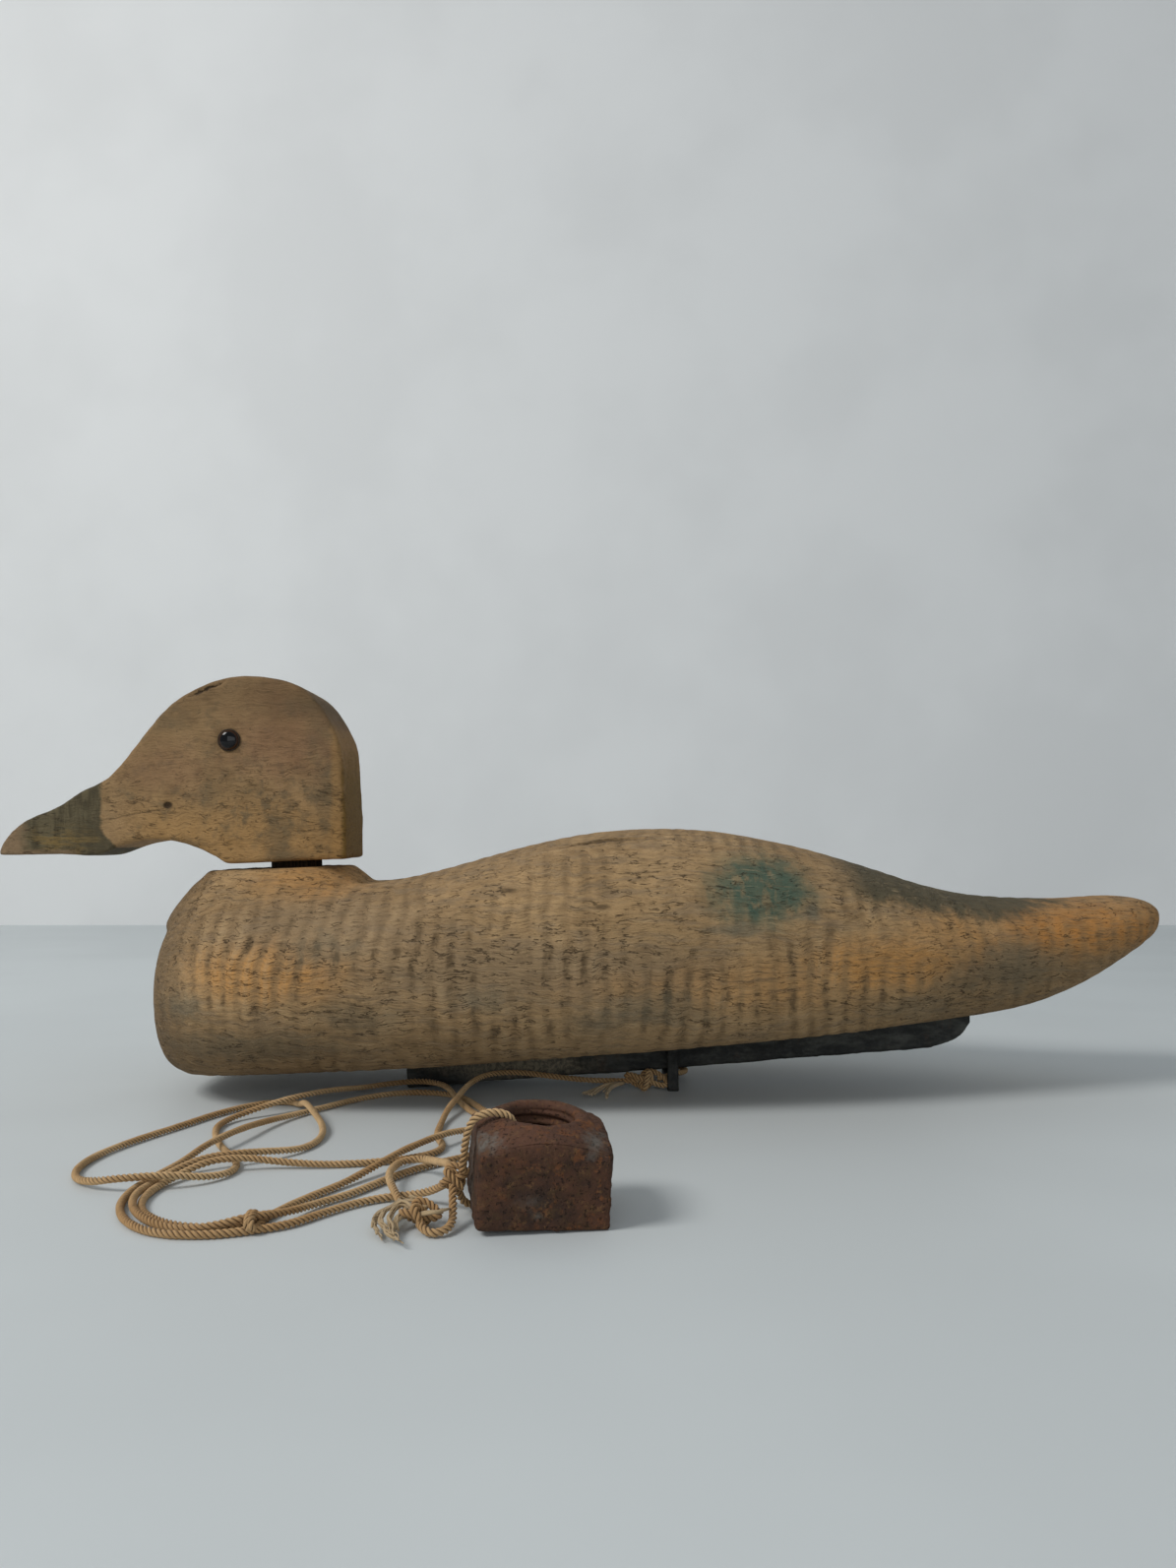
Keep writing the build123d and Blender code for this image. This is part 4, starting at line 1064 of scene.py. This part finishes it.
def rusty_iron():
    s = Surface("rusty_nut_iron", 0.84, 0.22)
    broad = s.noise(11.0, 5, 0.66, 111)
    small = s.noise(3.0, 6, 0.72, 113)
    tiny = s.noise(1.0, 4, 0.7, 114)
    s.colour = s.mix(s.step(broad, 0.36, 0.64), RUST_DARK, RUST_MID)
    s.lay(s.step(small, 0.46, 0.70, 0.0, 0.75), RUST_BROWN)
    s.lay(s.step(s.z, 16.0, 24.0, 0.0, 0.45), RUST_TOP)
    orange = s.times(s.step(s.noise(3.4, 5, 0.7, 115), 0.54, 0.64), s.step(s.x, -14.0, 4.0, 0.45, 1.0))
    s.lay(s.times(orange, 0.6), RUST_ORANGE)
    ochre = s.times(s.step(s.noise(2.2, 5, 0.7, 116), 0.56, 0.66), s.step(s.x, -22.0, -8.0, 0.3, 0.9))
    s.lay(s.times(ochre, 0.5), RUST_OCHRE)
    speck = s.step(tiny, 0.60, 0.74)
    s.lay(s.times(speck, 0.30), RUST_OCHRE)
    pits = s.step(s.noise(0.9, 4, 0.65, 119), 0.42, 0.32)
    s.lay(s.times(pits, 0.5), (0.014, 0.010, 0.009))
    for centre, sizes, share in (
        ((-20.0, -177.0, 20.6), (4.2, 5.0, 1.9), 0.75), ((4.8, -174.0, 19.4), (2.6, 5.0, 3.0), 0.6),
        ((-25.2, -166.0, 12.0), (1.4, 8.0, 9.0), 0.45), ((-9.5, -180.5, 7.6), (3.0, 5.0, 1.6), 0.2),
        ((-8.0, -181.0, 4.6), (1.4, 5.0, 1.0), 0.4),
    ):
        scuff = s.spot(centre, sizes, 0.6, 0.8, centre[0], 2.0)
        s.lay(s.times(scuff, s.step(small, 0.62, 0.40, 0.3, 1.0), share), RUST_SCUFF)
    height = s.add(
        s.times(broad, 0.4), s.times(small, 0.8), s.times(pits, -0.8), s.times(speck, 0.3),
        s.times(tiny, 0.25),
    )
    return s.finish(height, 0.55, 0.95, s.step(small, 0.3, 0.7, 0.68, 0.92))


def twisted_fibre(name, light, dark, hairs_and_groove_shade):
    """Natural fibre; each strand's own lay is read from the piece's fibre attribute."""
    s = Surface(name, 0.85, 0.15)
    parts = s.tree.nodes.new("ShaderNodeSeparateXYZ")
    s.feed(parts.inputs[0], s.attribute("fibre").outputs["Vector"])
    along, across, depth = parts.outputs
    hairs = s.vector(s.times(along, 0.45), s.add(s.times(across, 7.0), s.times(along, 1.2)), 3.0)
    lines = s.noise(1.0, 4, 0.7, 121, 0.2, hairs)
    stretch_of_cord = s.noise(34.0, 2, 0.5, 123)
    blotch = s.noise(4.0, 4, 0.6, 125)
    s.colour = s.mix(s.step(stretch_of_cord, 0.36, 0.64), dark, light)
    s.lay(s.step(lines, 0.42, 0.72, 0.0, 0.65), hairs_and_groove_shade)
    s.lay(s.step(blotch, 0.54, 0.74, 0.0, 0.35), dark)
    # painted shade in the grooves between a cord's strands, where the depth is low; the same step
    # darkens loose fibres towards their root
    s.lay(s.step(depth, 0.62, 0.10, 0.0, 0.90), hairs_and_groove_shade)
    height = s.add(s.times(lines, 0.6), s.times(depth, 0.3))
    s.shader.inputs["Sheen Weight"].default_value = 0.12
    return s.finish(height, 0.18, 0.8)


def eye_glass_black():
    s = Surface("eye_glass_black", 0.05, 0.3)
    across, up = s.math("SUBTRACT", s.x, EYE_X), s.math("SUBTRACT", s.z, EYE_Z)
    rim = s.math("SQRT", s.add(s.times(across, across), s.times(up, up)), 0.0)
    haze = s.noise(2.2, 3, 0.6, 131)
    s.colour = s.mix(s.step(rim, 2.7, 3.3), (0.002, 0.002, 0.003), (0.045, 0.018, 0.007))
    s.lay(s.step(rim, 3.4, 3.7), (0.006, 0.004, 0.003))
    return s.finish(haze, 0.03, 0.15)


def plain_metal(name, colour, seed):
    s = Surface(name, 0.6, 0.4)
    s.shader.inputs["Metallic"].default_value = 0.6
    grit = s.noise(1.2, 4, 0.65, seed)
    darker = tuple(c * 0.4 for c in colour)
    s.colour = s.mix(s.step(grit, 0.4, 0.65), colour, darker)
    return s.finish(grit, 0.2, 0.6)


def dark_putty():
    s = Surface("eye_putty", 0.7, 0.3)
    grit = s.noise(0.8, 4, 0.65, 141)
    s.colour = s.mix(grit, (0.012, 0.008, 0.005), (0.05, 0.032, 0.018))
    return s.finish(grit, 0.15, 0.7)


def table_top(name, colour):
    s = Surface(name, 0.55, 0.3)
    cloud = s.noise(180.0, 3, 0.5, 151)
    paler = tuple(min(c * 1.06, 1.0) for c in colour)
    s.colour = s.mix(s.step(cloud, 0.35, 0.65), colour, paler)
    return s.finish(s.noise(1.5, 3, 0.6, 153), 0.05, 0.2)


def paint(piece, material):
    piece.data.materials.clear()
    piece.data.materials.append(material)


paint(body, body_wood())
paint(head, head_wood())
paint(dowel, dowel_wood())
paint(keel, black_iron("keel_black_iron", 161, 0.062, True))
paint(band, black_iron("band_black_iron", 167, 0.030))
paint(nut, rusty_iron())
cord_material = twisted_fibre("cord_twisted_fibre", CORD_LIGHT, CORD_BROWN, CORD_HAIRS_AND_GROOVE_SHADE)
for piece in [*cords.values(), *knots.values()]:
    paint(piece, cord_material)
fray_material = twisted_fibre("cord_loose_fibre", FRAY_LIGHT, FRAY_BROWN, FRAY_HAIRS_AND_GROOVE_SHADE)
for piece in (hitch_fray, tassel, stopper_fray):
    paint(piece, fray_material)
glass = eye_glass_black()
putty = dark_putty()
for piece in eyes:
    paint(piece, glass)
for piece in rings:
    paint(piece, putty)
nail_metal = plain_metal("nail_rusted_steel", (0.16, 0.11, 0.08), 171)
wire_metal = plain_metal("eye_wire_steel", (0.30, 0.26, 0.22), 173)
cad_materials = {"keel_nails": nail_metal}
for side in ("left", "right"):
    cad_materials["eye_pupil_" + side] = putty
    cad_materials["eye_wire_" + side] = wire_metal
for node, material in cad_materials.items():
    paint(NODES[node], material)


# ---------------------------------------------------------------- table, backdrop and light

TABLE_HALF_WIDTH, TABLE_FRONT, TABLE_BACK, BACKDROP_HEIGHT = 3000, -1500, 826, 2400


def stage_plane(name, near_y, far_y, far_z, material):
    """A flat piece of the room, from its near edge on the table to its far or top edge."""
    w = TABLE_HALF_WIDTH
    corners = [(-w, near_y, 0), (w, near_y, 0), (w, far_y, far_z), (-w, far_y, far_z)]
    piece = add_mesh(name, corners, [(0, 1, 2, 3)], smooth=False)
    paint(piece, material)


stage_plane("table", TABLE_FRONT, TABLE_BACK, 0, table_top("table_pale", (0.62, 0.66, 0.67)))
stage_plane(
    "backdrop", TABLE_BACK, TABLE_BACK, BACKDROP_HEIGHT,
    table_top("backdrop_pale", (0.80, 0.81, 0.81)),
)


def area_light(name, place, aim, size, power, colour):
    data = bpy.data.lights.new(name, "AREA")
    data.shape = "RECTANGLE"
    data.size, data.size_y = size
    data.energy = power
    data.color = colour
    light = bpy.data.objects.new(name, data)
    light.location = place
    direction = np.array(aim) - np.array(place)
    flat = math.hypot(direction[0], direction[1])
    heading = math.atan2(direction[1], direction[0]) - math.pi / 2
    light.rotation_euler = (math.atan2(flat, -direction[2]), 0, heading)
    SCENE.collection.objects.link(light)


area_light("window", (-1.30, -0.85, 1.45), (0.0, -0.05, 0.05), (0.7, 0.7), 21.5, (1.0, 0.98, 0.95))
area_light("room", (0.1, -1.5, 0.40), (0.0, 0.0, 0.03), (1.4, 0.6), 3.4, (0.95, 0.98, 1.0))
world = bpy.data.worlds.new("pale_room")
world.use_nodes = True
world.node_tree.nodes["Background"].inputs["Color"].default_value = (0.86, 0.92, 0.97, 1)
world.node_tree.nodes["Background"].inputs["Strength"].default_value = 0.335
SCENE.world = world
